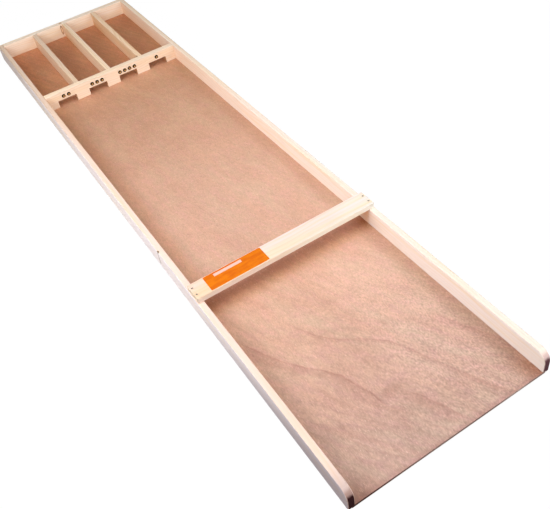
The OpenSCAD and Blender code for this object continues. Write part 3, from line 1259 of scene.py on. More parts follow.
    def veneered(self, r: Recipe) -> Socket:
        """The face veneer's own colours, in clouds and lines that follow its course.

        Args:
            r: The recipe.

        Returns:
            The colour.
        """
        flow = self.flow(r)
        course = r.join(flow, r.y, 0.0)
        wide = r.cloud(course, self.wide_cells, 3.1, 3.0, 0.55)
        colour = r.mix(r.step(wide, 0.35, 0.70, 0.0, 0.55), self.veneer, self.beige)
        blush = r.cloud(course, self.blush_cells, 12.6, 3.0, 0.65)
        colour = r.mix(r.step(blush, 0.42, 0.68, 0.0, 0.55), colour, self.pink)
        patch = r.cloud(course, self.patch_cells, 21.3, 2.0, 0.55)
        patch = r.mix(r.step(patch, 0.30, 0.70), self.dull_patch, self.pale_patch)
        colour = r.tint(colour, r.step(r.y, -300.0, -150.0, 1.0, 0.6), patch)
        lines = r.calc("MAXIMUM", self.figured(r), self.fine_lines(r, flow))
        return r.mix(r.calc("MAXIMUM", lines, self.blotched(r)), colour, self.redder)

    def tone(self, r: Recipe) -> Socket:
        """How the sheet's tone changes over the board.

        It is greyer at the front and browner towards the back. It has painted shade in the
        compartments, beside the rails, in the front corners and round the crossbar, and painted
        light beside the left rail behind the crossbar.

        Args:
            r: The recipe.

        Returns:
            The tone.
        """
        past_bar = r.step(r.y, *self.past_bar_y)
        tone = self.all_over
        # The compartments' zones are painted shade.
        for zone in (self.front, self.lane, self.boxes, self.lane_end, self.box_rear, self.front_margin):
            tone = r.zoned(tone, zone)
        start = r.times(r.step(r.x, *self.start_x), r.rest(past_bar))
        start = r.times(start, r.step(r.y, *self.start_y, -0.2, 1.0))
        # Painted light beside the left rail, behind the crossbar.
        painted_left_light = r.times(r.band(r.x, self.left_lane_rise, self.left_lane_fall), past_bar)
        for share, tint in ((start, self.start_tone), (painted_left_light, self.painted_left_light),
                            (r.band(r.x, self.left_rise, self.left_fall), self.left_tone)):
            tone = r.tint(tone, share, tint)
        # Painted shade in the front corners and round the crossbar.
        for place, tint in self.painted_shades:
            tone = r.tint(tone, self.nearness(r, place), tint)
        # Painted shade beside the rails.
        beside = r.step(r.size(r.plus(r.x, self.margin_shift)), *self.margin_x)
        right_cut = r.times(r.step(r.x, -1.0, 1.0), r.times(past_bar, self.right_shade_cut))
        return r.tint(tone, r.times(beside, r.rest(right_cut)), self.margin)

    def curl(self, r: Recipe) -> Socket:
        """Light and dark curls of the veneer, a few millimetres wide and slanting.

        Args:
            r: The recipe.

        Returns:
            The curls, about from -1 to 1.
        """
        soft = r.cloud(r.slanted(self.curl_slope), self.soft_curl_cells, 5.7, 4.0, 0.62)
        soft = r.step(soft, 0.28, 0.72, -1.0, 1.0)
        fine = r.step(r.cloud(r.place, self.fine_curl_cells, 15.2, 3.0, 0.6), 0.28, 0.72, -1.0, 1.0)
        return r.scaled(fine, 0.6, r.times(soft, 0.7))

    def streak(self, r: Recipe) -> Socket:
        """Light and dark streaks in the compartments, long and slanting.

        Args:
            r: The recipe.

        Returns:
            The streaks, from minus their depth to their depth.
        """
        lines = r.cloud(r.slanted(self.streak_slope), self.streak_cells, 8.3, 3.0, 0.6)
        lines = r.step(lines, 0.3, 0.7, -self.streak_depth, self.streak_depth)
        return r.times(lines, r.reach(self.boxes))

    def grained(self, r: Recipe, colour: Socket, grain: Socket, front: Socket) -> Socket:
        """Lays the grain over a colour, rough at the front right and smooth at the back.

        Args:
            r: The recipe.
            colour: The veneer's colour.
            grain: Fine noise from 0 to 1.
            front: How far a place counts as the front, from 0 to 1.

        Returns:
            The colour with its grain.
        """
        rough = r.times(front, r.step(r.x, -110.0, 110.0, 0.02, 0.20))
        depth = r.times(r.plus(rough, 0.095), r.step(r.y, 200.0, 330.0, 1.0, 0.6))
        return r.shade(colour, r.plus(r.times(r.step(grain, 0.28, 0.72, -1.1, 0.9), depth), 1.0))

    def flow(self, r: Recipe) -> Socket:
        """The course of the veneer's figure: it is the same all along one line of the flame.

        It is x plus a lean times y, minus a bend times the square of how far a point lies in
        front of the start of the bend, plus a slow ripple and the dip of the flame's tip.

        Args:
            r: The recipe.

        Returns:
            The course, in millimetres.
        """
        front = r.calc("MAXIMUM", r.calc("SUBTRACT", self.bend_start, r.y), 0.0)
        bent = r.times(r.times(front, front), -self.bend)
        course = r.plus(r.scaled(r.y, self.lean, r.x), bent)
        course = r.plus(course, r.centred(r.cloud(r.place, self.ripple_cells, 2.2, 3.0), self.ripple))
        return r.plus(course, r.times(self.nearness(r, self.tip), self.tip_dip))

    def nearness(self, r: Recipe, blotch: Blotch) -> Socket:
        """How near a place is to a blotch: e to minus the square of its distance in half sizes.

        Args:
            r: The recipe.
            blotch: The blotch.

        Returns:
            A share from 0 to 1, without the blotch's strength.
        """
        along = r.calc("SUBTRACT", r.y, blotch.y)
        across = r.scaled(along, -blotch.slant, r.calc("SUBTRACT", r.x, blotch.x))
        offset = r.vector("DIVIDE", r.join(across, along, 0.0), (blotch.half_width, blotch.half_length, 1.0))
        return r.calc("EXPONENT", r.times(r.vector("DOT_PRODUCT", offset, offset), -1.0))

    def blotched(self, r: Recipe) -> Socket:
        """The strength of all blotches together, broken up by noise.

        Args:
            r: The recipe.

        Returns:
            The strength.
        """
        total = 0.0
        for blotch in self.blotches:
            total = r.scaled(self.nearness(r, blotch), blotch.strength, total)
        return r.times(total, r.step(r.cloud(r.place, (0.16, 0.08, 0.0), 7.1, 3.0), 0.3, 0.65, 0.45, 1.2))

    def figured(self, r: Recipe) -> Socket:
        """The strength of the drawn figure lines, a little wavy and broken up by noise.

        Args:
            r: The recipe.

        Returns:
            The strength.
        """
        wave = r.centred(r.cloud(r.place, self.wave_cells, 4.4, 4.0, 0.6), self.wave)
        total = 0.0
        for line in self.figure:
            away = r.plus(r.calc("SUBTRACT", r.x, r.curve(r.y, line.y, line.x)), wave)
            body = r.band(away, (-line.fade, -0.6 * line.fade), (-0.5, 2.0), 0.5)
            rim = r.band(away, (-3.2, -1.0), (-1.0, 1.2), 0.45)
            ends = r.band(r.y, (line.y[0] - 4, line.y[0] + 14), (line.y[-1] - 45, line.y[-1]))
            drawn = r.times(r.plus(body, rim), r.times(ends, line.strength))
            total = r.calc("MAXIMUM", total, drawn)
        breaks = r.step(r.cloud(r.place, (0.05, 0.03, 0.0), 7.7, 3.0, 0.6), 0.30, 0.62, 0.6, 1.1)
        return r.times(total, breaks)

    def fine_lines(self, r: Recipe, flow: Socket) -> Socket:
        """Faint lines in patches, where the course over the gap nears a whole number.

        Args:
            r: The recipe.
            flow: The course of the figure.

        Returns:
            The strength of the lines.
        """
        phase = r.calc("FRACT", r.calc("DIVIDE", flow, self.fine_gap))
        patch = r.step(r.cloud(r.place, (0.015, 0.012, 0.0), 9.4), 0.42, 0.62, 0.03, 0.16)
        patch = r.times(patch, r.step(r.y, -430.0, -200.0, 1.0, 0.4))
        return r.times(r.band(phase, (0.55, 0.9), (0.92, 1.0)), patch)

    def with_plies(self, r: Recipe, colour: Socket) -> Socket:
        """Shows the three plies wherever the surface doesn't face up or down.

        The edge has painted shade at its left end, and painted light to the right with a painted highlight
        near x = 90.

        Args:
            r: The recipe.
            colour: The face veneer's colour.

        Returns:
            The colour with the edges.
        """
        side = r.fall(r.size(r.facing(UPWARD)), 0.55, 0.85)
        top, blur = self.thickness - self.face_ply, 0.1
        inside = r.band(r.z, (self.face_ply - blur, self.face_ply + blur), (top - blur, top + blur))
        fibre = r.cloud(r.place, (0.5, 0.5, 2.5), 9.2)
        core = r.shade(self.core, r.step(fibre, 0.3, 0.7, 0.82, 1.05))
        end_pores = r.cloud(r.place, (1.6, 1.6, 1.6), 3.8)
        edge = r.shade(self.edge, r.step(end_pores, 0.35, 0.65, 0.7, 1.15))
        # Painted shade at the left end of the edge, and painted light to the right with a painted highlight
        # near x = 90.
        plies = r.shade(r.mix(inside, edge, core), r.step(r.x, *self.edge_shade_x, 0.5, 0.85))
        plies = r.mix(r.curve(r.x, self.edge_light_x, self.edge_light_share), plies, self.painted_edge_light)
        return r.mix(side, colour, plies)


@dataclass(frozen=True)
class BrassFinish:
    """Brass of a score nail: brown patina round the rim, and a pale crown that is partly worn bare brass,
    partly painted highlight.
    """

    name: str = "aged_brass"
    face: float = 328.0
    crown: Span = (1.52, 1.95)
    patina: Colour = linear(38, 18, 4)
    # Painted highlight on the crown, over brass worn bare there.
    bright: Colour = linear(240, 200, 134)
    glint: Colour = linear(130, 72, 24)

    def paint(self) -> bpy.types.Material:
        """Writes the recipe. The crown is told by its height over the beam's face.

        Returns:
            The material.
        """
        r = Recipe(self.name)
        spots = r.cloud(r.place, (1.1, 1.1, 1.1), 2.5, 3.0)
        height = r.plus(r.calc("SUBTRACT", self.face, r.y), r.centred(spots, 0.12))
        # The crown: partly worn bare brass, partly a painted highlight.
        crown = r.step(height, *self.crown)
        brown = r.shade(self.patina, r.step(spots, 0.3, 0.7, 0.65, 1.2))
        return r.surface(r.mix(crown, brown, self.bright), r.scaled(crown, -0.14, 0.42), spots, 0.03,
                         Metallic=0.95, Specular_Tint=self.glint)


@dataclass(frozen=True)
class SteelFinish:
    """Plain steel of the frame's nails and brads, dull and a little brown."""

    name: str = "dull_steel"
    steel: Colour = linear(172, 164, 152)
    rust: Colour = linear(132, 102, 80)

    def paint(self) -> bpy.types.Material:
        """Writes the recipe.

        Returns:
            The material.
        """
        r = Recipe(self.name)
        spots = r.cloud(r.place, (1.4, 1.4, 1.4), 4.2, 3.0, 0.6)
        scratches = r.cloud(r.place, (3.5, 0.8, 3.5), 7.1)
        colour = r.mix(r.step(spots, 0.5, 0.72, 0.0, 0.6), self.steel, self.rust)
        colour = r.shade(colour, r.step(scratches, 0.3, 0.7, 0.85, 1.1))
        return r.surface(colour, r.scaled(spots, 0.2, 0.34), scratches, 0.03, Metallic=0.8)


@dataclass(frozen=True)
class StickerFinish:
    """Orange paper of the sticker, with one plain pale band."""

    name: str = "orange_paper"
    orange: Colour = linear(225, 121, 12)
    deep: Colour = linear(213, 102, 12)
    band: Colour = linear(246, 205, 196)
    band_strength: float = 0.8
    band_middle: Span = (-82.0, -259.2)
    band_half: Span = (21.0, 2.6)
    band_blur: Span = (0.5, 0.4)

    def paint(self) -> bpy.types.Material:
        """Writes the recipe.

        Returns:
            The material.
        """
        r = Recipe(self.name)
        mottle = r.cloud(r.place, (0.05, 0.16, 0.0), 1.9, 3.0)
        colour = r.mix(r.step(mottle, 0.35, 0.68), self.orange, self.deep)
        fine = r.cloud(r.place, (1.2, 1.2, 1.2), 6.1)
        colour = r.shade(colour, r.step(fine, 0.3, 0.7, 0.96, 1.03))
        sides = zip((r.x, r.y), self.band_middle, self.band_half, self.band_blur)
        inside = r.times(*(
            r.fall(r.size(r.calc("SUBTRACT", place, middle)), half - blur, half)
            for place, middle, half, blur in sides
        ))
        colour = r.mix(r.times(inside, self.band_strength), colour, self.band)
        return r.surface(colour, r.scaled(mottle, 0.1, 0.34), fine, 0.02,
                         IOR=1.3, Coat_Weight=0.06, Coat_Roughness=0.25)


# Pieces

def node_box(node: str) -> np.ndarray:
    """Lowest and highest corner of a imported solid, in millimetres, shaped (2, 3)."""
    low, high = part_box(node)
    return np.round(np.array([low, high], dtype=float) / MM, 4)


def show(skin: Skin, name: str, nodes: tuple[str, ...], finish: bpy.types.Material) -> None:
    """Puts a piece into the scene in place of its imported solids.

    Args:
        skin: Its shape.
        name: Its name.
        nodes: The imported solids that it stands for.
        finish: Its material.
    """
    piece = bpy.data.objects.new(name, skin.mesh(name))
    bpy.context.scene.collection.objects.link(piece)
    piece.data.materials.append(finish)
    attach(piece, BODY)
    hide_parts(*nodes)
    LOG.info("%s: %d triangles, for %s", name, len(piece.data.polygons), ", ".join(nodes))


@dataclass(frozen=True)
class Gates:
    """The four gates of the beam, spaced evenly about the board's middle."""

    count: int = 4
    pitch: float = 62.0
    width: float = 36.0
    height: float = 13.0

    def middle(self, gate: int) -> float:
        """The x of a gate's middle; the gates count from 0 at the left."""
        return (gate - (self.count - 1) / 2) * self.pitch


@dataclass(frozen=True)
class Nail:
    """A wire nail with a flat head, and the hole that its head sinks into."""

    length: float
    shank: float
    head: float
    head_height: float
    sink: float = 0.2
    play: float = 0.12
    floor_gap: float = 0.3
    sides: int = 20

    def profile(self) -> Lathe:
        """The nail as turned: down from the middle of its slightly crowned head to its point.

        The first four points are the crown, the next two the head's rim, then come the neck,
        the shank and the point, which is 1.7 shanks long.

        Returns:
            The turned form, its head's rim just below a height of 0.
        """
        head, shank = self.head / 2, self.shank / 2
        top, tip = -self.head_height, -self.length
        radii = [0, 0.55 * head, 0.86 * head, head, head, 0.8 * head, shank, shank, 0.06]
        heights = [0.06, 0.03, -0.03, -0.14, top + 0.1, top, top - 0.25, tip + 1.7 * self.shank, tip]
        return Lathe(np.array([*radii, 0.0]), np.array([*heights, tip]), self.sides)

    def recess(self, u: float, v: float) -> Recess:
        """The hole for this nail's head at a place on a face."""
        return Recess(u, v, self.head / 2 + self.play, self.sink + self.head_height + self.floor_gap)


@dataclass(frozen=True)
class NailRow:
    """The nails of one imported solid: their heads' middles, and the way that the heads face."""

    name: str
    node: str
    nail: Nail
    run: Axis
    way: float
    heads: tuple[Triple, ...]

    def recesses(self) -> list[Recess]:
        """The holes of these nails in the face that they were driven through."""
        u, v, _ = self.run.indices()
        return [self.nail.recess(head[u], head[v]) for head in self.heads]

    def build(self, finish: bpy.types.Material) -> None:
        """Makes the nails as one piece.

        Args:
            finish: Their material.
        """
        u, v, w = self.run.indices()
        skin = Skin()
        for head in self.heads:
            at = (head[u], head[v], head[w] - self.way * self.nail.sink)
            self.nail.profile().cover(skin, self.run, self.way, at)
        show(skin, self.name, (self.node,), finish)


@dataclass
class Fixings:
    """All nails and brads of the frame, placed from the boards that they hold together."""

    nail: Nail = Nail(length=25.0, shank=1.4, head=2.8, head_height=0.8)
    brad: Nail = Nail(length=14.0, shank=1.2, head=2.4, head_height=0.5)
    edge: float = 7.0
    crossbar_pitch: float = 13.0
    gates: Gates = Gates()
    divider_pitch: float = 65.0
    rebate_brad_x: float = 133.25
    lane_brads: int = 7
    compartment_brads: int = 2
    margin: float = 35.0
    levels: Span = field(init=False)
    rows: dict[str, NailRow] = field(init=False, default_factory=dict)

    def __post_init__(self) -> None:
        """Works out the nails' two levels and every row once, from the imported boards."""
        board = np.array([node_box("left_rail")[0], node_box("right_rail")[1]])
        floor_top, rail_top = node_box("floor_sheet")[1, 2], node_box("left_rail")[1, 2]
        self.levels = (floor_top + self.edge, rail_top - self.edge)
        self.add_crossbar()
        self.add_frame_joints(board)
        self.add_brads(board)

    def add(self, name: str, node: str, nail: Nail, run: Axis, way: float, heads: list[Triple]) -> None:
        """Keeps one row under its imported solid's name."""
        self.rows[node] = NailRow(name, node, nail, run, way, tuple(map(tuple, heads)))

    def add_crossbar(self) -> None:
        """Two nails at each end of the crossbar, over the middle of the rail."""
        low, high = node_box("crossbar")
        middle = (low[1] + high[1]) / 2
        for side in Side:
            rail = node_box(f"{side.name.lower()}_rail")
            x = (rail[0, 0] + rail[1, 0]) / 2
            heads = [(x, middle + k * self.crossbar_pitch, high[2]) for k in (-0.5, 0.5)]
            self.add(f"CrossbarNails{side.name.title()}", f"crossbar_nails_{side.name.lower()}",
                     self.nail, Axis.Z, 1.0, heads)

    def add_frame_joints(self, board: np.ndarray) -> None:
        """Nails through the rails into the gate beam and the back wall, and into the dividers.

        Args:
            board: The board's lowest and highest corner.
        """
        for board_name, word in (("gate_beam", "beam"), ("back_wall", "back_wall")):
            low, high = node_box(board_name)
            middle = (low[1] + high[1]) / 2
            for side in Side:
                x = board[0, 0] if side is Side.LEFT else board[1, 0]
                heads = [(x, middle, z) for z in self.levels]
                title = word.title().replace("_", "")
                self.add(f"{title}Nails{side.name.title()}", f"{word}_nails_{side.name.lower()}",
                         self.nail, Axis.X, float(side.value), heads)
        heads = [(k * self.divider_pitch, board[1, 1], z) for k in (-1, 0, 1) for z in self.levels]
        self.add("DividerNails", "divider_nails", self.nail, Axis.Y, 1.0, heads)

    def add_brads(self, board: np.ndarray) -> None:
        """Brads up through the sheet into the rails, the beam, the dividers and the back wall.

        Args:
            board: The board's lowest and highest corner.
        """
        beam, wall = node_box("gate_beam"), node_box("back_wall")
        lane = np.linspace(board[0, 1] + self.margin, beam[0, 1] - self.margin, self.lane_brads)
        rear = np.linspace(beam[1, 1] + self.margin, wall[0, 1] - self.margin, self.compartment_brads)
        beam_y, wall_y = (beam[0, 1] + beam[1, 1]) / 2, (wall[0, 1] + wall[1, 1]) / 2
        for side in Side:
            heads = [(side.value * self.rebate_brad_x, y, 0.0) for y in (*lane, *rear)]
            self.add(f"FloorBrads{side.name.title()}", f"floor_brads_{side.name.lower()}",
                     self.brad, Axis.Z, -1.0, heads)
        heads = [(k * self.gates.pitch, beam_y, 0.0) for k in (-1, 0, 1)]
        self.add("FloorBradsBeam", "floor_brads_beam", self.brad, Axis.Z, -1.0, heads)
        heads = [(k * self.divider_pitch, y, 0.0) for k in (-1, 0, 1) for y in rear]
        self.add("FloorBradsDividers", "floor_brads_dividers", self.brad, Axis.Z, -1.0, heads)
        heads = [(k * self.divider_pitch, wall_y, 0.0) for k in (-1.5, -0.5, 0.5, 1.5)]
        self.add("FloorBradsBack", "floor_brads_back", self.brad, Axis.Z, -1.0, heads)

    def holes(self, *nodes: str) -> list[Recess]:
        """The nail holes of several rows."""
        return [recess for node in nodes for recess in self.rows[node].recesses()]

    def build(self) -> None:
        """Makes every row."""
        steel = SteelFinish().paint()
        for row in self.rows.values():
            row.build(steel)


@dataclass
class SideRail:
    """A side rail: a lath on edge, its top front corner rounded, rebated for the sheet."""

    side: Side
    fixings: Fixings
    nose: float = 15.0
    toe: float = 2.0
    corner: float = 1.4
    ease: float = 1.1
    rebate: float = 4.5
    nose_steps: int = 24

    def outline(self, low: np.ndarray, high: np.ndarray) -> np.ndarray:
        """The rail seen from its side: a long strip with its own front corners.

        Args:
            low: The rail's lowest corner.
            high: Its highest corner.

        Returns:
            The points of the outline, as y and z.
        """
        parts = [(low[1], low[2], self.toe), (high[1], low[2], self.corner),
                 (high[1], high[2], self.corner), (low[1], high[2], self.nose)]
        return rounded(parts, self.nose_steps)

    def build(self) -> None:
        """Makes the rail from an outer and an inner prism that meet at the rebate's wall.

        The outer one has the whole outline, and the inner one the part of it over the sheet.
        """
        node = f"{self.side.name.lower()}_rail"
        low, high = node_box(node)
        level = node_box("floor_sheet")[1, 2]
        whole = with_level(self.outline(low, high), level)
        upper = whole[whole[:, 1] >= level - 1e-6]
        lower = whole[whole[:, 1] <= level + 1e-6]
        holes = self.fixings.holes(f"beam_nails_{self.side.name.lower()}",
                                   f"back_wall_nails_{self.side.name.lower()}")
        outer_x = low[0] if self.side is Side.LEFT else high[0]
        inner_x = high[0] if self.side is Side.LEFT else low[0]
        step_x = inner_x + self.side.value * self.rebate
        skin = Skin()
        if self.side is Side.RIGHT:
            Prism(whole, step_x, outer_x, Axis.X, self.ease, low_end=End.OPEN,
                  high_recesses=holes).cover(skin)
            Prism(upper, inner_x, step_x, Axis.X, self.ease, level, high_end=End.OPEN).cover(skin)
        else:
            Prism(whole, outer_x, step_x, Axis.X, self.ease, high_end=End.OPEN,
                  low_recesses=holes).cover(skin)
            Prism(upper, step_x, inner_x, Axis.X, self.ease, level, low_end=End.OPEN).cover(skin)
        wall = Axis.X.place(lower[:, 0], lower[:, 1], np.full(len(lower), step_x))[filled([lower])]
        skin.add(wall, np.broadcast_to(np.array([-float(self.side.value), 0, 0]), wall.shape))
        show(skin, f"Rail{self.side.name.title()}", (node,), self.finish(low, high).paint())

    def finish(self, low: np.ndarray, high: np.ndarray) -> RailFinish:
        """The rail's own pine, with the marks that this rail has.

        Args:
            low: The rail's lowest corner.
            high: Its highest corner.

        Returns:
            The finish.
        """
        middle = (low[0] + high[0]) / 2
        if self.side is Side.LEFT:
            stain = Knot((low[0], -163.0, high[2] - 0.5), (2.0, 2.4, 2.2))
            crack = Knot((low[0], -160.5, 18.0), (1.5, 0.9, 12.0), 0.8, 0.8)
            return RailFinish("rail_pine_left", Axis.Y, (middle - 46, 70), 12.0, contrast=0.26,
                              early=linear(241, 213, 199), warm=linear(241, 207, 177),
                              knots=(stain, crack), knot_rim=linear(68, 54, 48),
                              knot_heart=linear(78, 64, 58), outward=-1.0,
                              painted_outer_light=(1.05, 1.23, 1.46), shaded_front=True, painted_top_rear_shade=(0.89, 0.89, 0.80))
        return RailFinish("rail_pine_right", Axis.Y, (middle + 58, 60), 31.0, contrast=0.28,
                          early=linear(249, 230, 217), warm=linear(247, 221, 190),
                          front_end=linear(100, 62, 68), nose=linear(222, 192, 186))


@dataclass
class CrossPieces:
    """The pieces between the rails: back wall, gate beam and the three dividers."""

    fixings: Fixings
    ease: float = 0.5
    beam_ease: float = 0.35
    corner: float = 0.6
    gates: Gates = Gates()

    def build(self) -> None:
        """Makes all five boards."""
        self.build_back_wall()
        self.build_gate_beam()
        for word in ("left", "middle", "right"):
            self.build_divider(word)

    def build_back_wall(self) -> None:
        """The back wall, with a spike knot beside the middle divider."""
        low, high = node_box("back_wall")
        outline = rectangle(low[[0, 2]], high[[0, 2]], self.corner)
        skin = Skin()
        Prism(outline, low[1], high[1], Axis.Y, self.ease,
              high_recesses=self.fixings.holes("divider_nails")).cover(skin)
        spike = Knot((-7.6, low[1], 19.5), (2.4, 7.0, 9.5), 0.9, 0.55)
        mark = Knot((-5.6, 589.5, high[2]), (2.6, 2.6, 3.0), 1.0, 0.9)
        finish = PineFinish("back_wall_pine", Axis.X, (620.0, -30.0), 47.0, knots=(spike, mark))
        show(skin, "BackWall", ("back_wall",), finish.paint())

    def build_gate_beam(self) -> None:
        """The gate beam: an outline with four notches, carried through its thickness."""
        low, high = node_box("gate_beam")
        bottom, top = low[2], low[2] + self.gates.height
        corners = [(low[0], bottom, self.corner)]
        for gate in range(self.gates.count):
            middle = self.gates.middle(gate)
            left, right = middle - self.gates.width / 2, middle + self.gates.width / 2
            corners += [(left, bottom, self.corner), (left, top, 0.0), (right, top, 0.0),
                        (right, bottom, self.corner)]
        corners += [(high[0], bottom, self.corner), (high[0], high[2], self.corner),
                    (low[0], high[2], self.corner)]
        skin = Skin()
        Prism(rounded(corners, CORNER_CHORDS), low[1], high[1], Axis.Y, self.beam_ease).cover(skin)
        finish = PineFinish("gate_beam_pine", Axis.X, (300.0, 62.0), 5.0, contrast=0.42,
                            early=linear(252, 230, 208), warm=linear(250, 219, 178))
        show(skin, "GateBeam", ("gate_beam",), finish.paint())

    def build_divider(self, word: str) -> None:
        """One divider, a lath on edge along the board.

        Args:
            word: Which divider it is: left, middle or right.
        """
        low, high = node_box(f"{word}_divider")
        skin = Skin()
        Prism(rectangle(low[1:], high[1:], self.corner), low[0], high[0], Axis.X, self.ease).cover(skin)
        finish = self.divider_finish(word, low, high)
        show(skin, f"Divider{word.title()}", (f"{word}_divider",), finish.paint())

    def divider_finish(self, word: str, low: np.ndarray, high: np.ndarray) -> DividerFinish:
        """The pine of one divider, each cut from its own lath.

        Args:
            word: Which divider it is: left, middle or right.
            low: Its lowest corner.
            high: Its highest corner.

        Returns:
            The finish.
        """
        name, middle = f"{word}_divider_pine", (low[0] + high[0]) / 2
        if word == "left":
            return DividerFinish(name, Axis.Y, (middle + 40, 64), 60.0, early=linear(231, 204, 180),
                                 warm=linear(225, 196, 160), rear_cheek=(1.07, 1.08, 1.08),
                                 foot=(0.95, 0.92, 0.88))
        if word == "middle":
            return DividerFinish(name, Axis.Y, (middle - 52, 58), 67.0, early=linear(249, 224, 199),
                                 warm=linear(247, 219, 180))
        # A dark speck where the divider meets the gate beam: painted shade of the gap between them.
        speck = Knot((low[0], 343.0, high[2]), (1.4, 2.4, 1.6))
        return DividerFinish(name, Axis.Y, (middle + 38, -36), 74.0, early=linear(246, 214, 182),
                             warm=linear(243, 208, 165), knots=(speck,))


@dataclass
class Crossbar:
    """The flat lath across both rails, and the sticker on it."""

    fixings: Fixings
    ease: float = 0.8
    corner: float = 1.0
    sticker_corner: float = 1.5
    sticker_thickness: float = 0.11
    sticker_lift: float = 0.08
    sticker_columns: int = 60
    sticker_rows: int = 24

    def build(self) -> None:
        """Makes the lath and the sticker."""
        low, high = node_box("crossbar")
        skin = Skin()
        holes = self.fixings.holes("crossbar_nails_left", "crossbar_nails_right")
        Prism(rectangle(low[:2], high[:2], self.corner), low[2], high[2], Axis.Z, self.ease,
              high_recesses=holes).cover(skin)
        finish = CrossbarFinish("crossbar_pine", Axis.X, (-350.0, 20.0), 83.0, ring_width=6.5,
                                sway=14.0, early=linear(246, 226, 213),
                                late=linear(236, 206, 162), warm=linear(245, 222, 184),
                                end=linear(242, 218, 192))
        show(skin, "Crossbar", ("crossbar",), finish.paint())
        self.build_sticker()

    def build_sticker(self) -> None:
        """The sticker: a thin sheet with small bubbles, its corners a little off the wood.

        Its top is a grid over the rectangle, drawn in towards the middle at the corners. The
        height is the thickness plus the lift times two crossing sines and the corners' share,
        which is the product of both distances from the middle, in halves of the rectangle, to
        the tenth power.
        """
        low, high = node_box("sticker")
        u, v = np.meshgrid(np.linspace(-1, 1, self.sticker_columns), np.linspace(-1, 1, self.sticker_rows),
                           indexing="ij")
        half = (high[:2] - low[:2]) / 2
        middle = (high[:2] + low[:2]) / 2
        pull = self.sticker_corner * 0.3 * (np.abs(u) * np.abs(v)) ** 24
        x = middle[0] + u * half[0] - np.sign(u) * pull
        y = middle[1] + v * half[1] - np.sign(v) * pull
        bubbles = 0.5 + 0.25 * np.sin(0.21 * x + 1.0) * np.sin(0.33 * y) + 0.25 * np.sin(0.47 * x - 0.3 * y)
        corner = (np.abs(u) * np.abs(v)) ** 10
        lift = self.sticker_lift * np.clip(0.55 * bubbles + 0.6 * corner, 0, 1)
        top = low[2] + self.sticker_thickness + lift
        bottom = np.full_like(top, low[2])
        skin = Skin()
        slope_x = np.gradient(lift, axis=0) / np.gradient(x, axis=0)
        slope_y = np.gradient(lift, axis=1) / np.gradient(y, axis=1)
        upward = np.stack([-slope_x, -slope_y, np.ones_like(lift)], axis=2)
        self.add_grid(skin, np.stack([x, y, top], axis=2), upward)
        downward = np.broadcast_to((0.0, 0.0, -1.0), upward.shape)
        self.add_grid(skin, np.stack([x, y, bottom], axis=2), downward)
        rim = [(slice(None), 0, (0.0, -1.0, 0.0)), (slice(None), -1, (0.0, 1.0, 0.0)),
               (0, slice(None), (-1.0, 0.0, 0.0)), (-1, slice(None), (1.0, 0.0, 0.0))]
        for i, j, way in rim:
            side = np.stack([np.stack([x[i, j], y[i, j], z[i, j]], axis=1) for z in (bottom, top)], axis=1)
            self.add_grid(skin, side, np.broadcast_to(way, side.shape))
        show(skin, "Sticker", ("sticker",), StickerFinish().paint())

    @staticmethod
    def add_grid(skin: Skin, points: np.ndarray, normals: np.ndarray) -> None:
        """Adds the faces of a grid to a skin.

        Args:
            skin: The skin that takes the faces.
            points: The grid's points, shaped (rows, columns, 3).
            normals: The normal at each of them.
        """
        parts = [np.stack([a[:-1, :-1], a[1:, :-1], a[1:, 1:], a[:-1, 1:]], axis=2).reshape(-1, 4, 3)
                 for a in (points, np.asarray(normals, dtype=float))]
        skin.add_quads(*parts)


@dataclass
class FloorSheet:
    """The plywood sheet, with the brads' holes underneath."""

    fixings: Fixings
    ease: float = 0.25
    corner: float = 0.6
    steps: int = 3

    def build(self) -> None:
        """Makes the sheet."""
        low, high = node_box("floor_sheet")
        outline = rectangle(low[:2], high[:2], self.corner, self.steps)
        holes = self.fixings.holes("floor_brads_left", "floor_brads_right", "floor_brads_beam",
                                   "floor_brads_dividers", "floor_brads_back")
        skin = Skin()
        Prism(outline, low[2], high[2], Axis.Z, self.ease, low_recesses=holes, steps=self.steps).cover(skin)
        finish = PlywoodFinish(thickness=high[2] - low[2])
        show(skin, "FloorSheet", ("floor_sheet",), finish.paint())


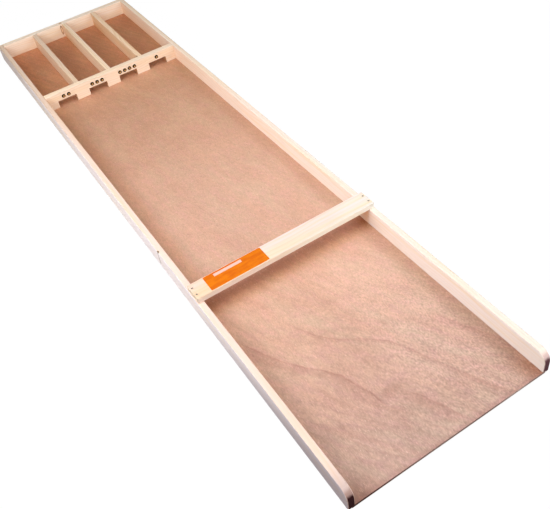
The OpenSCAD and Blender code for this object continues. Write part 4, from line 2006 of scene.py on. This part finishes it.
@dataclass
class ScoreNails:
    """The domed nails over the gates, which count what each gate scores."""

    head: float = 7.0
    height: float = 2.0
    lip: float = 0.3
    shank: float = 1.4
    length: float = 9.0
    pitch: float = 10.0
    rise: float = 6.5
    gates: Gates = Gates()
    dome_points: int = 12
    sides: int = 32
    groups: tuple[tuple[str, str, int], ...] = (
        ("ScoreTwo", "score_nails_two", 2), ("ScoreThree", "score_nails_three", 3),
        ("ScoreFour", "score_nails_four", 4), ("ScoreOne", "score_nail_one", 1))

    def profile(self) -> Lathe:
        """The nail as turned: up over the dome, round the lip, under the head and down the shank.

        The dome is an arc: its radius is the sum of the squares of its half width and its
        height, over twice the height.

        Returns:
            The turned form, its head's underside at a height of 0.
        """
        half, rise = self.head / 2 - 0.1, self.height - self.lip
        radius = (half ** 2 + rise ** 2) / (2 * rise)
        angle = np.linspace(0, math.asin(half / radius), self.dome_points)
        dome = (radius * np.sin(angle), self.height - radius * (1 - np.cos(angle)))
        radii = [self.head / 2, self.head / 2, self.shank / 2, self.shank / 2, 0.08, 0.0]
        heights = [self.lip * 0.7, 0.0, 0.0, 1.5 * self.shank - self.length, -self.length, -self.length]
        return Lathe(np.concatenate([dome[0], radii]), np.concatenate([dome[1], heights]), self.sides)

    def build(self) -> None:
        """Makes the four groups."""
        beam, floor = node_box("gate_beam"), node_box("floor_sheet")
        level = floor[1, 2] + self.gates.height + self.rise
        brass = BrassFinish(face=float(beam[0, 1])).paint()
        for gate, (name, node, count) in enumerate(self.groups):
            skin = Skin()
            for k in range(count):
                x = self.gates.middle(gate) + (k - (count - 1) / 2) * self.pitch
                self.profile().cover(skin, Axis.Y, -1.0, (x, level, beam[0, 1]))
            show(skin, name, (node,), brass)


# Studio

@dataclass(frozen=True)
class SoftBox:
    """A large rectangular lamp with a soft light. Places and sizes are metres, the power watts."""

    name: str
    at: Triple
    aim: Triple
    width: float
    depth: float
    power: float

    def build(self) -> None:
        """Hangs the lamp and turns it to its aim.

        It is tilted by the angle between its ray and straight down, and then turned by the
        ray's angle on the table less a quarter turn.
        """
        data = bpy.data.lights.new(self.name, "AREA")
        data.shape = "RECTANGLE"
        data.size, data.size_y = self.width, self.depth
        data.energy = self.power
        lamp = bpy.data.objects.new(self.name, data)
        bpy.context.scene.collection.objects.link(lamp)
        lamp.visible_camera = False
        lamp.location = self.at
        ray = np.array(self.aim) - np.array(self.at)
        tilt = math.acos(-ray[2] / np.linalg.norm(ray))
        lamp.rotation_euler = (tilt, 0.0, math.atan2(ray[1], ray[0]) - math.pi / 2)


@dataclass
class Studio:
    """White table and surroundings, soft lamps, and the camera at the photograph's place.

    Places and sizes are metres, the camera's turn is degrees, and its lens and sensor are
    millimetres.
    """

    camera_at: Triple = (-0.3004, -0.8699, 0.7012)
    camera_turn: Triple = (44.288, 7.125, -32.559)
    camera_lens: float = 46.698
    camera_sensor: float = 36.0
    camera_clip: Span = (0.01, 50.0)
    table_half: float = 4.0
    table_drop: float = 0.0003
    table_grey: Colour = linear(118, 118, 118)
    table_glow: float = 1.12
    white_share: float = 0.88
    sky: float = 0.06
    below: float = 0.55
    contact: float = 0.001
    lamps: tuple[SoftBox, ...] = (
        SoftBox("Overhead", (0.0, -0.25, 1.1), (0.0, -0.25, 0.0), 0.7, 0.7, 4.6),
        SoftBox("LeftHigh", (-1.1, 0.0, 0.9), (0.0, 0.0, 0.0), 1.2, 0.8, 10.2),
        SoftBox("LeftFront", (-1.0, -0.9, 0.9), (0.0, -0.3, 0.0), 1.0, 0.8, 7.0),
        SoftBox("LeftCard", (-0.45, 0.05, 0.2), (0.0, 0.05, 0.1), 0.8, 0.3, 0.95),
        SoftBox("FrontLow", (0.4, -1.5, 0.4), (0.0, 0.0, 0.1), 1.6, 0.6, 5.6),
        SoftBox("RightHigh", (1.1, 0.4, 0.9), (0.0, 0.3, 0.0), 1.2, 0.8, 3.2),
        SoftBox("RightFront", (0.9, -0.8, 0.9), (0.0, -0.2, 0.0), 1.2, 0.8, 7.3),
        SoftBox("BackLow", (-0.1, 1.6, 0.12), (0.0, 0.6, 0.02), 1.2, 0.18, 3.0),
        SoftBox("RightBack", (1.3, 0.8, 0.12), (0.1, 0.2, 0.02), 1.2, 0.18, 2.8),
    )

    def build(self) -> None:
        """Sets up everything round the board."""
        self.build_camera()
        self.build_table()
        self.build_sky()
        for lamp in self.lamps:
            lamp.build()
        bpy.context.scene.view_settings.view_transform = "Standard"

    def build_camera(self) -> None:
        """The camera, without shift or depth of field."""
        data = bpy.data.cameras.new("Camera")
        data.lens = self.camera_lens
        data.sensor_width = self.camera_sensor
        data.clip_start, data.clip_end = self.camera_clip
        camera = bpy.data.objects.new("Camera", data)
        bpy.context.scene.collection.objects.link(camera)
        camera.location = self.camera_at
        camera.rotation_euler = tuple(math.radians(angle) for angle in self.camera_turn)
        bpy.context.scene.camera = camera

    def build_table(self) -> None:
        """The table: white to the camera, with the board's shadow, and clear from below."""
        half, z = self.table_half, -self.table_drop
        corners = [(-half, -half, z), (half, -half, z), (half, half, z), (-half, half, z)]
        mesh = bpy.data.meshes.new("Table")
        mesh.from_pydata(corners, [], [(0, 1, 2, 3)])
        table = bpy.data.objects.new("Table", mesh)
        bpy.context.scene.collection.objects.link(table)
        r = Recipe("white_table")
        diffuse, glow, path = r.node("BsdfDiffuse"), r.node("Emission"), r.node("LightPath")
        r.feed(diffuse.inputs[0], self.table_grey)
        r.feed(glow.inputs[0], PLAIN)
        r.feed(glow.inputs[1], self.table_glow)
        seen = r.calc("MAXIMUM", path.outputs["Is Camera Ray"], path.outputs["Is Transmission Ray"])
        touching = r.calc("LESS_THAN", path.outputs["Ray Length"], self.contact)
        touching = r.times(touching, r.rest(path.outputs["Is Shadow Ray"]))
        back = r.calc("MAXIMUM", r.node("NewGeometry").outputs["Backfacing"], touching)
        lit, clear = r.node("MixShader"), r.node("MixShader")
        r.feed(lit.inputs[0], r.times(seen, self.white_share))
        r.feed(lit.inputs[1], diffuse.outputs[0])
        r.feed(lit.inputs[2], glow.outputs[0])
        r.feed(clear.inputs[0], back)
        r.feed(clear.inputs[1], lit.outputs[0])
        r.feed(clear.inputs[2], r.node("BsdfTransparent").outputs[0])
        r.feed(r.output.inputs[0], clear.outputs[0])
        mesh.materials.append(r.material)

    def build_sky(self) -> None:
        """The surroundings: white to the camera, dim round the board and brighter from below.

        The light from below only reaches the board's underside, since the table is clear to
        rays that have run for less than the contact length.
        """
        world = bpy.data.worlds.new("Surroundings")
        world.use_nodes = True
        tree = world.node_tree
        tree.nodes.clear()
        split = tree.nodes.new("ShaderNodeSeparateXYZ")
        tree.links.new(tree.nodes.new("ShaderNodeTexCoord").outputs["Generated"], split.inputs[0])
        rise, level = tree.nodes.new("ShaderNodeMapRange"), tree.nodes.new("ShaderNodeMapRange")
        for node, ends in ((rise, (-0.05, 0.0, self.below, self.sky)), (level, (0.0, 1.0, 0.0, 1.0))):
            for socket, number in zip(list(node.inputs)[1:5], ends):
                socket.default_value = number
        tree.links.new(split.outputs[2], rise.inputs[0])
        tree.links.new(tree.nodes.new("ShaderNodeLightPath").outputs["Is Camera Ray"], level.inputs[0])
        tree.links.new(rise.outputs[0], level.inputs["To Min"])
        light = tree.nodes.new("ShaderNodeBackground")
        light.inputs["Color"].default_value = (1.0, 1.0, 1.0, 1.0)
        tree.links.new(level.outputs[0], light.inputs["Strength"])
        tree.links.new(light.outputs[0], tree.nodes.new("ShaderNodeOutputWorld").inputs[0])
        bpy.context.scene.world = world


def main() -> None:
    logging.basicConfig(level=logging.INFO, format="%(name)s %(message)s")
    Studio().build()
    fixings = Fixings()
    FloorSheet(fixings).build()
    for side in Side:
        SideRail(side, fixings).build()
    CrossPieces(fixings).build()
    Crossbar(fixings).build()
    ScoreNails().build()
    fixings.build()


if __name__ == "__main__":
    main()
